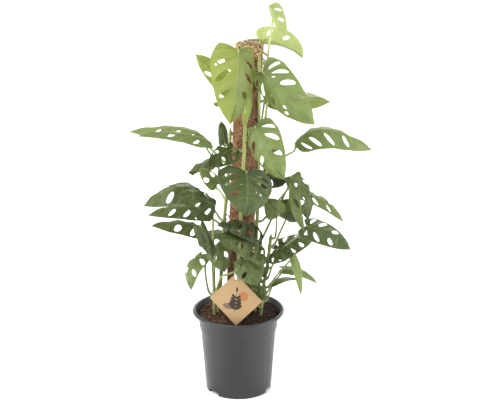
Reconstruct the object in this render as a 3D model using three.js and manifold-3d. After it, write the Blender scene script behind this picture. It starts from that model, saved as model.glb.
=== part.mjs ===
// Swiss cheese vine in a nursery pot, climbing a coir pole, with a blank kraft card tag.
// Millimetres, +Z up, origin in the middle of the pot's base. The front of the plant looks along -Y.

import * as THREE from "three";
import { mergeVertices } from "three/addons/utils/BufferGeometryUtils.js";
import Module from "manifold-3d";

const wasm = await Module();
wasm.setup();

// Pot
const potSides = 30;
const potHeight = 158;
const potLipRadius = 85;
const potLipThickness = 6;
const potMouthRadius = 79.7;
const potCollarRadius = 75.6;
const potStepHeight = 117;
const potStepRadius = 69.8;
const potStepWidth = 1.5;
const potStepDepth = 2;
const potBaseRadius = 60.4;
const potWall = 1.5;
const potFloorUnderside = 7;
const potFloorTop = 9;
const potFootInnerRadius = 50;
const potBossRadius = 18;
const footNotchHeight = 6.5;
const footNotchWidth = 27;
const footNotchAngles = [219, 340, 100];
const drainHoleRadius = 5;
const drainHoleRingRadius = 36;
const drainHoleAngles = [40, 160, 280];
const drainHoleSides = 8;

// Soil
const soilEdgeHeight = 149;
const soilMiddleHeight = 151.5;
const soilRings = [0.68, 0.36, 0];
const soilLump = 1.3;
const seatGap = 0.3;
const soilGap = 0.45;
const aboveSoil = 170;

// Pole: a coir sleeve on a wooden stake, leaning a little to the right
const poleFootX = -6;
const poleLean = 0.04;
const poleRadius = 23;
const poleTop = 655;
const poleBottom = 60;
const poleSides = 16;
const poleRings = 16;
const coirLump = 0.8;
const stakeRadius = 8;
const stakeTop = 640;
const stakeBottom = 10;
const stakeSides = 12;
const sleeveHoleGap = 0.8;

// Stems and leaves
const stemRadius = 3.2;
const stemHoleGap = 0.6;
const stemSides = 7;
const stemStep = 42;
const petioleRadius = 2;
const petioleSides = 5;
const petioleStep = 36;
const petioleEnd = 0.05;
const petioleGap = 1;
const bladeThickness = 0.8;
const ribThickness = 1.7;

// Card tag and its plastic loop
const cardSide = 70;
const cardThickness = 1.2;
const cardCentre = [-4, -62, 200.5];
const cardYaw = 15;
const cardLean = 5;
const cardSlotWidth = 7;
const cardSlotHeight = 3;
const slotHeight = 38;
const strapWidth = 4.5;
const strapThickness = 0.9;
const strapInside = 7;
const strapSlack = 1.5;
const strapSeat = [-4, -58.7, 254];

// Stems that climb the pole: [height, bearing round the pole in degrees, distance off the coir]
const climbing = {
  right: [
    [70, 4, 5], [146, 3, 4], [250, 0, 1.4], [350, -8, 1.4], [450, -22, 1.4], [550, -38, 1.4], [642, -50, 1.4],
  ],
  left: [[70, 184, 12], [146, 184, 11], [250, 182, 8], [340, 182, 6], [420, 180, 2], [506, 178, 1.4]],
  front: [[70, -100, 10], [146, -100, 9], [215, -98, 8.5], [290, -96, 7], [350, -95, 1.6], [450, -94, 1.4],
    [600, -92, 1.4]],
  back: [[70, 90, 5], [146, 88, 4], [300, 85, 1.4], [450, 95, 1.4], [612, 100, 1.4]],
};

// Stems that stand free: points [x, y, z]
const standing = {
  lowerRight: [[40, -18, 70], [41, -16, 146], [46, -12, 200], [54, -7, 250], [60, -3, 305]],
  lowerLeft: [[-44, -14, 70], [-44, -14, 146], [-45, -12, 220], [-47, -10, 302]],
};

// Leaves, from the top down, the last six at the back.
// stem, node: where the petiole starts. base, tip: the ends of the midrib. face: the way the upper
// side looks. width: across the blade. arch: height of the midrib's bow by its length. fold, curl:
// degrees that each half turns down at the rib and on towards its edge. panels: stretches between
// veins. Each side of a stretch has a hole, from the second one or from the number in holesFrom.
const leaves = [
  { name: "leaf_01", tone: "young", stem: "right", node: 520, base: [55, -14, 729], tip: [84, -48, 682],
    face: [-0.6, -0.7, 0.3], width: 44, arch: 0.1, fold: 45, curl: 20, panels: 3, via: [[54, -14, 650]],
    bearing: -10 },
  { name: "leaf_02", tone: "young", stem: "right", node: 600, base: [43, 42, 652], tip: [116, 18, 629],
    face: [-0.1, -0.1, 1], width: 76, arch: 0.11, fold: -32, curl: 5, panels: 3, twist: 0,
    via: [[54, 12, 632]], bearing: 15, peak: 0.55, lobes: 3.2 },
  { name: "leaf_03", tone: "bright", stem: "back", node: 530, base: [-14, 36, 570], tip: [-76, 45, 630],
    face: [0.3, -0.9, 0.3], width: 42, arch: 0.05, fold: 5, curl: 10, panels: 3 },
  { name: "leaf_04", tone: "bright", stem: "front", node: 560, base: [1, -56, 661], tip: [-13, -92, 537],
    face: [0.42, -0.86, 0.3], width: 96, arch: 0.1, fold: 22, curl: 15, panels: 5, holesFrom: 2 },
  { name: "leaf_05", tone: "mature", stem: "right", node: 560, base: [42, -47, 621], tip: [134, -84, 535],
    face: [-0.22, -0.9, 0.05], width: 84, arch: 0.12, fold: 24, curl: 20, panels: 5, bearing: -15 },
  { name: "leaf_06", tone: "bright", stem: "right", node: 500, base: [48, 28, 552], tip: [168, 45, 541],
    face: [0, -0.45, 0.87], width: 60, arch: 0.07, fold: 10, curl: 20, panels: 3, lobes: 1.2 },
  { name: "leaf_07", tone: "mature", stem: "right", node: 470, base: [30, -54, 524], tip: [82, -100, 440],
    face: [-0.28, -0.9, 0.12], width: 80, arch: 0.15, fold: 24, curl: 25, panels: 4, lobes: 2.4 },
  { name: "leaf_08", tone: "mature", stem: "right", node: 420, base: [103, 0, 478], tip: [243, 10, 460],
    face: [0, -0.25, 0.96], width: 84, arch: 0.26, fold: 26, curl: 10, panels: 5, peak: 0.25, lobes: 1.4 },
  { name: "leaf_09", tone: "bright", stem: "front", node: 545, base: [24, -52, 580], tip: [10, -64, 522],
    face: [0.85, -0.45, 0.25], width: 36, arch: 0.08, fold: 20, curl: 20, panels: 2 },
  { name: "leaf_10", tone: "mature", stem: "left", node: 440, base: [-57, 6, 484], tip: [-199, 26, 491],
    face: [0, -0.1, 1], width: 66, arch: 0.13, fold: 25, curl: 15, panels: 5, peak: 0.25, lobes: 1.8 },
  { name: "leaf_11", tone: "mature", stem: "left", node: 410, base: [-54, -44, 497], tip: [-176, -60, 507],
    face: [0.1, -0.1, 1], width: 38, arch: 0.1, fold: 30, curl: 20, panels: 3 },
  { name: "leaf_12", tone: "deep", stem: "left", node: 455, base: [-24, 42, 464], tip: [-31, 60, 502],
    face: [0.2, -0.9, 0.2], width: 34, arch: 0.1, fold: 30, curl: 50, panels: 1 },
  { name: "leaf_13", tone: "deep", stem: "front", node: 472, base: [-8, -58, 486], tip: [-52, -62, 452],
    face: [-0.3, 0.85, 0.3], width: 54, arch: 0.1, fold: 10, curl: 20, panels: 3 },
  { name: "leaf_14", tone: "mature", stem: "front", node: 430, base: [15, -64, 445], tip: [15, -132, 384],
    face: [0.25, -0.7, 0.65], width: 104, arch: 0.12, fold: 10, curl: 15, panels: 5,
    lobes: 3.2, holesFrom: 2 },
  { name: "leaf_15", tone: "mature", stem: "left", node: 330, base: [-64, 32, 374], tip: [-174, 18, 351],
    face: [-0.1, -0.35, 0.93], width: 84, arch: 0.25, fold: 25, curl: 15, panels: 4, peak: 0.35 },
  { name: "leaf_16", tone: "deep", stem: "lowerLeft", node: 288, base: [-40, -66, 382],
    tip: [-104, -84, 408], face: [0.2, -0.6, 0.7], width: 76, arch: 0.15, fold: 20, curl: 38, panels: 3 },
  { name: "leaf_17", tone: "deep", stem: "lowerLeft", node: 296, base: [-66, -100, 357],
    tip: [-42, -104, 298], face: [0.3, -0.9, 0.2], width: 40, arch: 0.1, fold: 30, curl: 40, panels: 1,
    via: [[-68, -60, 304]] },
  { name: "leaf_18", tone: "deep", stem: "left", node: 325, base: [-66, -22, 362], tip: [-162, -44, 355],
    face: [0, -0.2, 0.97], width: 56, arch: 0.12, fold: 28, curl: 20, panels: 4 },
  { name: "leaf_19", tone: "deep", stem: "lowerLeft", node: 264, base: [-68, -44, 335],
    tip: [-153, -86, 350], face: [0, -0.3, 0.95], width: 54, arch: 0.1, fold: 28, curl: 20, panels: 3 },
  { name: "leaf_20", tone: "mature", stem: "left", node: 370, base: [-40, 40, 386], tip: [-72, 54, 414],
    face: [0.3, -0.8, 0.4], width: 32, arch: 0.1, fold: 10, curl: 20, panels: 2 },
  { name: "leaf_21", tone: "deep", stem: "front", node: 330, base: [34, -59, 340], tip: [-36, -95, 354],
    face: [0.1, -0.05, 1], width: 82, arch: 0.1, fold: 15, curl: 40, panels: 4 },
  { name: "leaf_22", tone: "deep", stem: "front", node: 285, base: [43, -70, 307], tip: [-38, -110, 336],
    face: [0, -0.4, 0.9], width: 84, arch: 0.1, fold: 15, curl: 20, panels: 4 },
  { name: "leaf_23", tone: "mature", stem: "lowerLeft", node: 196, base: [13, -68, 283],
    tip: [35, -96, 241], face: [-0.2, -0.85, 0.5], width: 60, arch: 0.12, fold: 10, curl: 20, panels: 3,
    via: [[-29, -52, 242], [-14.5, -58.7, 250], strapSeat, [6.5, -59.7, 258]] },
  { name: "leaf_24", tone: "deep", stem: "lowerRight", node: 190, base: [28, -34, 266],
    tip: [51, -30, 232], face: [-0.3, -0.85, 0.4], width: 46, arch: 0.1, fold: 10, curl: 20, panels: 2 },
  { name: "leaf_25", tone: "mature", stem: "lowerLeft", node: 190, base: [-67, -4, 266],
    tip: [-86, -24, 203], face: [-0.6, -0.5, 0.6], width: 46, arch: 0.25, fold: 10, curl: 20, panels: 3,
    via: [[-61, -6, 238]] },
  { name: "leaf_26", tone: "mature", stem: "lowerLeft", node: 240, base: [-40, -40, 298],
    tip: [-24, -50, 249], face: [0.2, -0.95, 0.1], width: 46, arch: 0.1, fold: 15, curl: 20, panels: 2 },
  { name: "leaf_27", tone: "deep", stem: "right", node: 380, base: [46, 32, 414], tip: [88, 55, 385],
    face: [0, -0.9, 0.4], width: 60, arch: 0.1, fold: 10, curl: 30, panels: 2 },
  { name: "leaf_28", tone: "deep", stem: "lowerRight", node: 298, base: [74, -14, 346],
    tip: [50, -42, 388], face: [0, -0.95, 0.3], width: 42, arch: 0.1, fold: 5, curl: 20, panels: 1 },
  { name: "leaf_29", tone: "deep", stem: "lowerRight", node: 280, base: [84, 12, 330],
    tip: [110, -12, 378], face: [0, -0.95, 0.3], width: 54, arch: 0.1, fold: 5, curl: 30, panels: 1 },
  { name: "leaf_30", tone: "mature", stem: "right", node: 330, base: [96, -16, 421], tip: [119, -72, 334],
    face: [-0.7, -0.55, 0.45], width: 40, arch: 0.18, fold: 32, curl: 30, panels: 3 },
  { name: "leaf_31", tone: "deep", stem: "right", node: 290, base: [106, 36, 402], tip: [128, 22, 322],
    face: [0.7, -0.6, 0.4], width: 56, arch: 0.15, fold: 10, curl: 20, panels: 3 },
  { name: "leaf_32", tone: "mature", stem: "back", node: 330, base: [119, 66, 364], tip: [197, 62, 304],
    face: [0.45, -0.3, 0.85], width: 42, arch: 0.12, fold: 10, curl: 15, panels: 4 },
  { name: "leaf_33", tone: "mature", stem: "lowerRight", node: 262, base: [123, -30, 331],
    tip: [203, -50, 292], face: [0.2, -0.7, 0.7], width: 50, arch: 0.12, fold: 8, curl: 15, panels: 4 },
  { name: "leaf_34", tone: "deep", stem: "lowerRight", node: 240, base: [72, -2, 275], tip: [140, 30, 285],
    face: [0, -0.55, 0.8], width: 48, arch: 0.12, fold: 10, curl: 20, panels: 4 },
  { name: "leaf_35", tone: "deep", stem: "lowerRight", node: 222, base: [62, -36, 281],
    tip: [100, -70, 288], face: [0, -0.7, 0.7], width: 44, arch: 0.1, fold: 10, curl: 20, panels: 3 },
  { name: "leaf_36", tone: "mature", stem: "lowerRight", node: 205, base: [105, -48, 280],
    tip: [113, -70, 212], face: [0.8, -0.5, 0.1], width: 32, arch: 0.1, fold: 30, curl: 20, panels: 1 },
  { name: "leaf_37", tone: "mature", stem: "lowerRight", node: 184, base: [83, 34, 224],
    tip: [149, 44, 188], face: [0.2, -0.3, 0.9], width: 28, arch: 0.15, fold: 10, curl: 15, panels: 1 },
  { name: "leaf_38", tone: "mature", stem: "lowerRight", node: 176, base: [62, -6, 211],
    tip: [115, 22, 203], face: [0, 0.1, 1], width: 26, arch: 0.15, fold: 15, curl: 15, panels: 1 },
  { name: "leaf_39", tone: "mature", stem: "back", node: 590, base: [16, 64, 618], tip: [4, 164, 574],
    face: [0, 0.3, 0.95], width: 80, arch: 0.18, fold: 8, curl: 20, panels: 4 },
  { name: "leaf_40", tone: "mature", stem: "back", node: 470, base: [-8, 62, 540], tip: [-22, 148, 498],
    face: [-0.1, 0.35, 0.9], width: 72, arch: 0.15, fold: 10, curl: 15, panels: 3 },
  { name: "leaf_41", tone: "mature", stem: "back", node: 420, base: [34, 66, 462], tip: [66, 152, 412],
    face: [0.2, 0.4, 0.85], width: 76, arch: 0.15, fold: 8, curl: 20, panels: 3 },
  { name: "leaf_42", tone: "deep", stem: "back", node: 360, base: [-38, 80, 416], tip: [-88, 156, 366],
    face: [-0.3, 0.3, 0.85], width: 76, arch: 0.15, fold: 10, curl: 20, panels: 3 },
  { name: "leaf_43", tone: "deep", stem: "back", node: 290, base: [22, 68, 345], tip: [42, 160, 300],
    face: [0.1, 0.4, 0.9], width: 76, arch: 0.18, fold: 8, curl: 15, panels: 3 },
  { name: "leaf_44", tone: "deep", stem: "back", node: 230, base: [-28, 62, 285], tip: [-70, 122, 240],
    face: [-0.2, 0.3, 0.9], width: 62, arch: 0.15, fold: 10, curl: 20, panels: 3 },
  { name: "leaf_45", tone: "deep", stem: "lowerRight", node: 168, base: [30, -30, 232], tip: [48, -44, 190],
    face: [0.2, -0.9, 0.3], width: 34, arch: 0.12, fold: 25, curl: 20, panels: 2 },
];

const colours = {
  pot: 0x3a3c3f,
  soil: 0x33241c,
  coir: 0x8a5a3c,
  stake: 0xb59468,
  stem: 0x9cae62,
  card: 0xb9905f,
  strap: 0xe9e4d6,
  young: 0xa9cf5e,
  bright: 0x7da845,
  mature: 0x6d9152,
  deep: 0x42663c,
};

const up = new THREE.Vector3(0, 0, 1);
const radians = THREE.MathUtils.degToRad;
const point = (values) => new THREE.Vector3(...values);

// A closed geometry with shared corners, no flat triangles, and its faces pointing out
function closed(geometry) {
  geometry.deleteAttribute("normal");
  geometry.deleteAttribute("uv");
  const merged = mergeVertices(geometry, 1e-3);
  const place = merged.attributes.position;
  const kept = [];
  let volume = 0;
  for (let i = 0; i < merged.index.count; i += 3) {
    const [a, b, c] = [0, 1, 2].map((k) => merged.index.getX(i + k));
    if (a === b || b === c || c === a) {
      continue;
    }
    kept.push(a, b, c);
    const [p, q, r] = [a, b, c].map((k) => new THREE.Vector3().fromBufferAttribute(place, k));
    volume += p.dot(q.cross(r));
  }
  if (volume < 0) {
    kept.reverse();
  }
  merged.setIndex(kept);
  return merged;
}

function toSolid(geometry) {
  const tidy = closed(geometry);
  return new wasm.Manifold(new wasm.Mesh({
    numProp: 3,
    vertProperties: new Float32Array(tidy.attributes.position.array),
    triVerts: new Uint32Array(tidy.index.array),
  }));
}

function fromSolid(solid) {
  const mesh = solid.getMesh();
  const geometry = new THREE.BufferGeometry();
  geometry.setAttribute("position", new THREE.BufferAttribute(mesh.vertProperties, 3));
  geometry.setIndex(new THREE.BufferAttribute(mesh.triVerts, 1));
  return geometry;
}

function circleShape(radius, sides) {
  const corners = [];
  for (let i = 0; i < sides; i += 1) {
    const angle = (2 * Math.PI * i) / sides;
    corners.push(new THREE.Vector2(radius * Math.cos(angle), radius * Math.sin(angle)));
  }
  return new THREE.Shape(corners);
}

function tube(curve, radius, sides, step) {
  const steps = Math.max(3, Math.round(curve.getLength() / step));
  const way = { steps, extrudePath: curve, curveSegments: 1 };
  return new THREE.ExtrudeGeometry(circleShape(radius, sides), way);
}

function turned(profile, sides) {
  const points = profile.map(([radius, height]) => new THREE.Vector2(radius, height));
  return new THREE.LatheGeometry(points, sides).rotateX(Math.PI / 2);
}

function uprightCylinder(radius, bottom, top, sides, x = 0, y = 0) {
  const cylinder = new THREE.CylinderGeometry(radius, radius, top - bottom, sides);
  return cylinder.rotateX(Math.PI / 2).translate(x, y, (bottom + top) / 2);
}

function poleAxis(height) {
  return new THREE.Vector3(poleFootX + poleLean * height, 0, height);
}

// Pot
function potWallRadius(height) {
  if (height < potStepHeight) {
    return potBaseRadius + ((potStepRadius - potBaseRadius) * height) / potStepHeight;
  }
  const collarFoot = potStepRadius + potStepWidth;
  const along = (height - potStepHeight) / (potHeight - potLipThickness - potStepHeight);
  return collarFoot + (potCollarRadius - collarFoot) * along;
}

function makePot() {
  const lipUnder = potHeight - potLipThickness;
  const stepTop = potStepHeight + potStepDepth;
  const profile = [
    [0, 0],
    [potBossRadius, 0],
    [potBossRadius + 1, potFloorUnderside],
    [potFootInnerRadius, potFloorUnderside],
    [potFootInnerRadius + 1, 0],
    [potBaseRadius, 0],
    [potWallRadius(potStepHeight - 0.01), potStepHeight],
    [potWallRadius(stepTop), stepTop],
    [potCollarRadius, lipUnder - 2],
    [potLipRadius - 1.5, lipUnder - 0.5],
    [potLipRadius, lipUnder + 1.5],
    [potLipRadius - 0.3, potHeight - 1.6],
    [potLipRadius - 2, potHeight],
    [potMouthRadius, potHeight - 0.8],
    [potCollarRadius - potWall, lipUnder - 3],
    [potWallRadius(stepTop) - potWall, stepTop + 1],
    [potWallRadius(potStepHeight - 1) - potWall, potStepHeight - 1],
    [potWallRadius(potFloorTop) - potWall, potFloorTop],
    [0, potFloorTop],
  ];
  let pot = toSolid(turned(profile, potSides));
  for (const angle of footNotchAngles) {
    const notch = new THREE.BoxGeometry(20, footNotchWidth, 2 * footNotchHeight);
    notch.translate(potBaseRadius - 3, 0, 0).rotateZ(radians(angle));
    pot = pot.subtract(toSolid(notch));
  }
  for (const angle of drainHoleAngles) {
    const hole = uprightCylinder(drainHoleRadius, -1, potFloorTop + 1, drainHoleSides, drainHoleRingRadius);
    pot = pot.subtract(toSolid(hole.rotateZ(radians(angle))));
  }
  return fromSolid(pot);
}

// Stems
function climbingCurve(knots) {
  const points = knots.map(([height, bearing, off]) => {
    const reach = poleRadius + off + stemRadius;
    const angle = radians(bearing);
    return poleAxis(height).add(new THREE.Vector3(reach * Math.cos(angle), reach * Math.sin(angle), 0));
  });
  return new THREE.CatmullRomCurve3(points);
}

const stemCurves = {};
for (const [name, knots] of Object.entries(climbing)) {
  stemCurves[name] = climbingCurve(knots);
}
for (const [name, knots] of Object.entries(standing)) {
  stemCurves[name] = new THREE.CatmullRomCurve3(knots.map(point));
}

function stemPointAt(name, height) {
  const curve = stemCurves[name];
  let low = 0;
  let high = 1;
  for (let i = 0; i < 30; i += 1) {
    const middle = (low + high) / 2;
    if (curve.getPoint(middle).z < height) {
      low = middle;
    } else {
      high = middle;
    }
  }
  return curve.getPoint(low);
}

// Pole
function makeSleeve() {
  const length = poleTop - poleBottom;
  const sleeve = new THREE.CylinderGeometry(poleRadius, poleRadius, length, poleSides, poleRings);
  sleeve.rotateX(Math.PI / 2).translate(0, 0, poleBottom + length / 2);
  const place = sleeve.attributes.position;
  for (let i = 0; i < place.count; i += 1) {
    const corner = new THREE.Vector3().fromBufferAttribute(place, i);
    const reach = Math.hypot(corner.x, corner.y);
    const angle = Math.atan2(corner.y, corner.x);
    const ripple = Math.sin(3 * angle + corner.z / 31) * Math.cos(corner.z / 17 - angle);
    const lump = reach > 1 ? coirLump * ripple : 0;
    const grow = reach > 1 ? (reach + lump) / reach : 1;
    const axis = poleAxis(corner.z);
    place.setXYZ(i, axis.x + corner.x * grow, corner.y * grow, corner.z);
  }
  const stakeRoom = uprightCylinder(stakeRadius + seatGap, poleBottom - 1, stakeTop + seatGap, stakeSides);
  const bore = leaning(stakeRoom);
  return fromSolid(toSolid(sleeve).subtract(toSolid(bore)));
}

function leaning(geometry) {
  const place = geometry.attributes.position;
  for (let i = 0; i < place.count; i += 1) {
    place.setX(i, place.getX(i) + poleAxis(place.getZ(i)).x);
  }
  return geometry;
}

function makeStake() {
  return closed(leaning(uprightCylinder(stakeRadius, stakeBottom, stakeTop, stakeSides)));
}

// Soil, with a plain hole for the pole and for each stem
function makeSoil() {
  const wallGap = potWall + soilGap;
  const soilFall = soilMiddleHeight - soilEdgeHeight;
  const stepTop = potStepHeight + potStepDepth;
  const edge = potWallRadius(soilEdgeHeight) - wallGap;
  const profile = [
    [0, potFloorTop + seatGap],
    [potWallRadius(potFloorTop) - wallGap, potFloorTop + seatGap],
    [potWallRadius(potStepHeight - 2) - wallGap, potStepHeight - 1],
    [potWallRadius(stepTop) - wallGap, stepTop + 2],
    [edge, soilEdgeHeight],
    ...soilRings.map((part) => [edge * part, soilMiddleHeight - soilFall * part * part]),
  ];
  const block = turned(profile, potSides);
  const place = block.attributes.position;
  for (let i = 0; i < place.count; i += 1) {
    const [x, y, z] = [place.getX(i), place.getY(i), place.getZ(i)];
    if (z > soilEdgeHeight + 0.1) {
      place.setZ(i, z + soilLump * Math.sin(x / 7 + 1) * Math.cos(y / 8));
    }
  }
  const sleeveRadius = poleRadius + coirLump + sleeveHoleGap;
  const sleeveHole = uprightCylinder(sleeveRadius, poleBottom - seatGap, aboveSoil, poleSides);
  const stakeHole = uprightCylinder(stakeRadius + seatGap, 0, aboveSoil, stakeSides);
  let soil = toSolid(block).subtract(toSolid(leaning(sleeveHole))).subtract(toSolid(leaning(stakeHole)));
  for (const name of Object.keys(stemCurves)) {
    const foot = stemCurves[name].getPoint(0);
    const path = new THREE.CatmullRomCurve3([
      foot.clone().setZ(foot.z - seatGap),
      ...[100, 135, aboveSoil].map((height) => stemPointAt(name, height)),
    ]);
    soil = soil.subtract(toSolid(tube(path, stemRadius + stemHoleGap, stemSides, 30)));
  }
  return fromSolid(soil);
}

// The flat blade: x runs along the midrib from 0 at the petiole to 1 at the tip, y is -1 to 1 across
function outline(along, lobes) {
  const x = along - lobes * along * (1 - along) ** 2;
  const y = Math.sin(Math.PI * Math.min(along, 0.9999)) ** 0.8 * (1 - 0.95 * along ** 18);
  return [x, along < 1 ? y : 0];
}

const usualLobes = 2.4;
const firstVein = 0.13;
const lastVein = 0.84;
const veinCrowding = 0.85;
const veinSlant = 0.24;
const veinBow = 0.03;
const holeMiddle = 0.57;
const holeLength = 0.36;
const holeWidth = 0.22;
const holeTaper = 0.25;
const holeNarrowing = 0.4;
const holeCorners = 6;
const ribStretch = 0.25;
const ribToHalf = 1.6;

function veinEnds(count, k, lobes) {
  const along = firstVein + (lastVein - firstVein) * (k / count) ** veinCrowding;
  const [x, y] = outline(along, lobes);
  const start = k === 0 ? 0 : Math.max(x - veinSlant * y, 0.04 * k);
  return { along, start, end: [x, y] };
}

// A point of vein k: b runs from the rib to the edge. Vein 0 is the edge of the blade beside the petiole.
function veinPoint(count, k, lobes, b) {
  if (k === 0) {
    return outline(firstVein * b, lobes);
  }
  const { start, end } = veinEnds(count, k, lobes);
  return [start + (end[0] - start) * b - veinBow * 4 * b * (1 - b), end[1] * b];
}

// A point of the panel between vein k and the next: a runs from vein to vein, b from the rib to the edge
function panelPoint(count, k, lobes, a, b) {
  const one = veinPoint(count, k, lobes, b);
  const two = veinPoint(count, k + 1, lobes, b);
  const from = veinEnds(count, k, lobes);
  const to = veinEnds(count, k + 1, lobes);
  const edge = outline(from.along + (to.along - from.along) * a, lobes);
  const bulge = [0, 1].map((i) => edge[i] - (from.end[i] + (to.end[i] - from.end[i]) * a));
  const [x, y] = [0, 1].map((i) => one[i] + (two[i] - one[i]) * a + bulge[i] * b * b);
  return new THREE.Vector2(x, y);
}

// Points between two points of the rib, no more than ribStretch apart
function ribPoints(from, to) {
  const steps = Math.ceil((to - from) / ribStretch);
  const points = [];
  for (let i = 1; i < steps; i += 1) {
    points.push(new THREE.Vector2(from + ((to - from) * i) / steps, 0));
  }
  return points;
}

// Triangles between a panel's border and its hole, both listed the same way round
function bridge(border, hole) {
  const apart = (p, q) => Math.hypot(ribToHalf * (p.x - q.x), p.y - q.y);
  const faces = [];
  let i = 0;
  let j = 0;
  while (i < border.length || j < hole.length) {
    const [here, there] = [border[i % border.length], hole[j % hole.length]];
    const [nextBorder, nextHole] = [border[(i + 1) % border.length], hole[(j + 1) % hole.length]];
    if (j === hole.length || (i < border.length && apart(nextBorder, there) < apart(here, nextHole))) {
      faces.push([here, nextBorder, there]);
      i += 1;
    } else {
      faces.push([here, nextHole, there]);
      j += 1;
    }
  }
  return faces;
}

function flatBlade(count, lobes, holesFrom) {
  const corners = [];
  const known = new Map();
  const triangles = [];
  const indexOf = (x, y) => {
    const key = `${Math.round(x * 1e4)},${Math.round(y * 1e4)}`;
    if (!known.has(key)) {
      known.set(key, corners.length);
      corners.push([x, y]);
    }
    return known.get(key);
  };
  const addFaces = (faces, side) => {
    for (const face of faces) {
      const ids = face.map((corner) => indexOf(corner.x, corner.y * side));
      const [p, q, r] = ids.map((i) => corners[i]);
      const area = (q[0] - p[0]) * (r[1] - p[1]) - (q[1] - p[1]) * (r[0] - p[0]);
      triangles.push(area > 0 ? ids : [ids[0], ids[2], ids[1]]);
    }
  };
  for (const side of [-1, 1]) {
    for (let k = 0; k < count; k += 1) {
      const border = [[0, 0], [0, 0.5], [0, 1], [0.5, 1], [1, 1], [1, 0.5], [1, 0]]
        .map(([a, b]) => panelPoint(count, k, lobes, a, b));
      border.push(...ribPoints(border[0].x, border[6].x).reverse());
      if (k < holesFrom) {
        const faces = THREE.ShapeUtils.triangulateShape(border, []);
        addFaces(faces.map((face) => face.map((i) => border[i])), side);
        continue;
      }
      const hole = [];
      for (let i = 0; i < holeCorners; i += 1) {
        const angle = (2 * Math.PI * i) / holeCorners;
        const a = 0.5 - holeWidth * (1 - (holeNarrowing * k) / count) * Math.sin(angle);
        const b = holeMiddle - holeLength * (1 - (holeTaper * k) / count) * Math.cos(angle);
        hole.push(panelPoint(count, k, lobes, a, b));
      }
      addFaces(bridge(border, hole), side);
    }
    const vein = [1, 0.5, 0].map((b) => panelPoint(count, count - 1, lobes, 1, b));
    const tip = new THREE.Vector2(1, 0);
    const edge = new THREE.Vector2(...outline((lastVein + 1) / 2, lobes));
    const border = [...vein, ...ribPoints(vein[2].x, 1), tip, edge];
    const faces = THREE.ShapeUtils.triangulateShape(border, []);
    addFaces(faces.map((face) => face.map((i) => border[i])), side);
  }
  return { corners, triangles };
}

// The blade's form in space
function leafForm(leaf) {
  const base = point(leaf.base);
  const tip = point(leaf.tip);
  const chord = tip.clone().sub(base);
  const face = point(leaf.face).normalize();
  const rise = face.clone().addScaledVector(chord, -face.dot(chord) / chord.lengthSq()).normalize();
  const peak = base.clone().lerp(tip, leaf.peak ?? 0.5);
  const control = peak.addScaledVector(rise, 2 * leaf.arch * chord.length());
  const rib = new THREE.QuadraticBezierCurve3(base, control, tip);
  const length = rib.getLength();
  const half = leaf.width / 2;
  const fold = radians(leaf.fold);
  const bend = Math.max(radians(leaf.curl), 0.01) / half;
  const place = (x, y) => {
    const s = THREE.MathUtils.clamp(x, 0, 1);
    const along = rib.getTangentAt(s);
    const normal = rise.clone().addScaledVector(along, -rise.dot(along)).normalize();
    normal.applyAxisAngle(along, radians((leaf.twist ?? 0) * (s - 0.5)));
    const across = along.clone().cross(normal);
    const out = Math.abs(y) * half;
    const reach = (Math.sin(fold + bend * out) - Math.sin(fold)) / bend;
    const drop = (Math.cos(fold) - Math.cos(fold + bend * out)) / bend;
    const spot = rib.getPointAt(s).addScaledVector(along, (x - s) * length);
    return spot.addScaledVector(across, Math.sign(y) * reach).addScaledVector(normal, -drop);
  };
  return { place, rib, rise, length, half };
}

function faceNormal(form, x, y) {
  const step = 0.01;
  const alongX = form.place(x + step, y).sub(form.place(x - step, y));
  const alongY = form.place(x, y + step).sub(form.place(x, y - step));
  return alongY.cross(alongX).normalize();
}

function makeBlade(leaf, form) {
  const { corners, triangles } = flatBlade(leaf.panels, leaf.lobes ?? usualLobes, leaf.holesFrom ?? 1);
  const count = corners.length;
  const positions = [];
  for (const side of [0.5, -0.5]) {
    for (const [x, y] of corners) {
      const thickness = y === 0 ? ribThickness : bladeThickness;
      const spot = form.place(x, y).addScaledVector(faceNormal(form, x, y), side * thickness);
      positions.push(...spot.toArray());
    }
  }
  const index = [];
  const edges = new Set();
  for (const [a, b, c] of triangles) {
    index.push(a, b, c, a + count, c + count, b + count);
    edges.add(`${a},${b}`).add(`${b},${c}`).add(`${c},${a}`);
  }
  for (const edge of edges) {
    const [a, b] = edge.split(",").map(Number);
    if (!edges.has(`${b},${a}`)) {
      index.push(b, a, a + count, b, a + count, b + count);
    }
  }
  const geometry = new THREE.BufferGeometry();
  geometry.setAttribute("position", new THREE.Float32BufferAttribute(positions, 3));
  geometry.setIndex(index);
  return toSolid(geometry);
}

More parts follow.
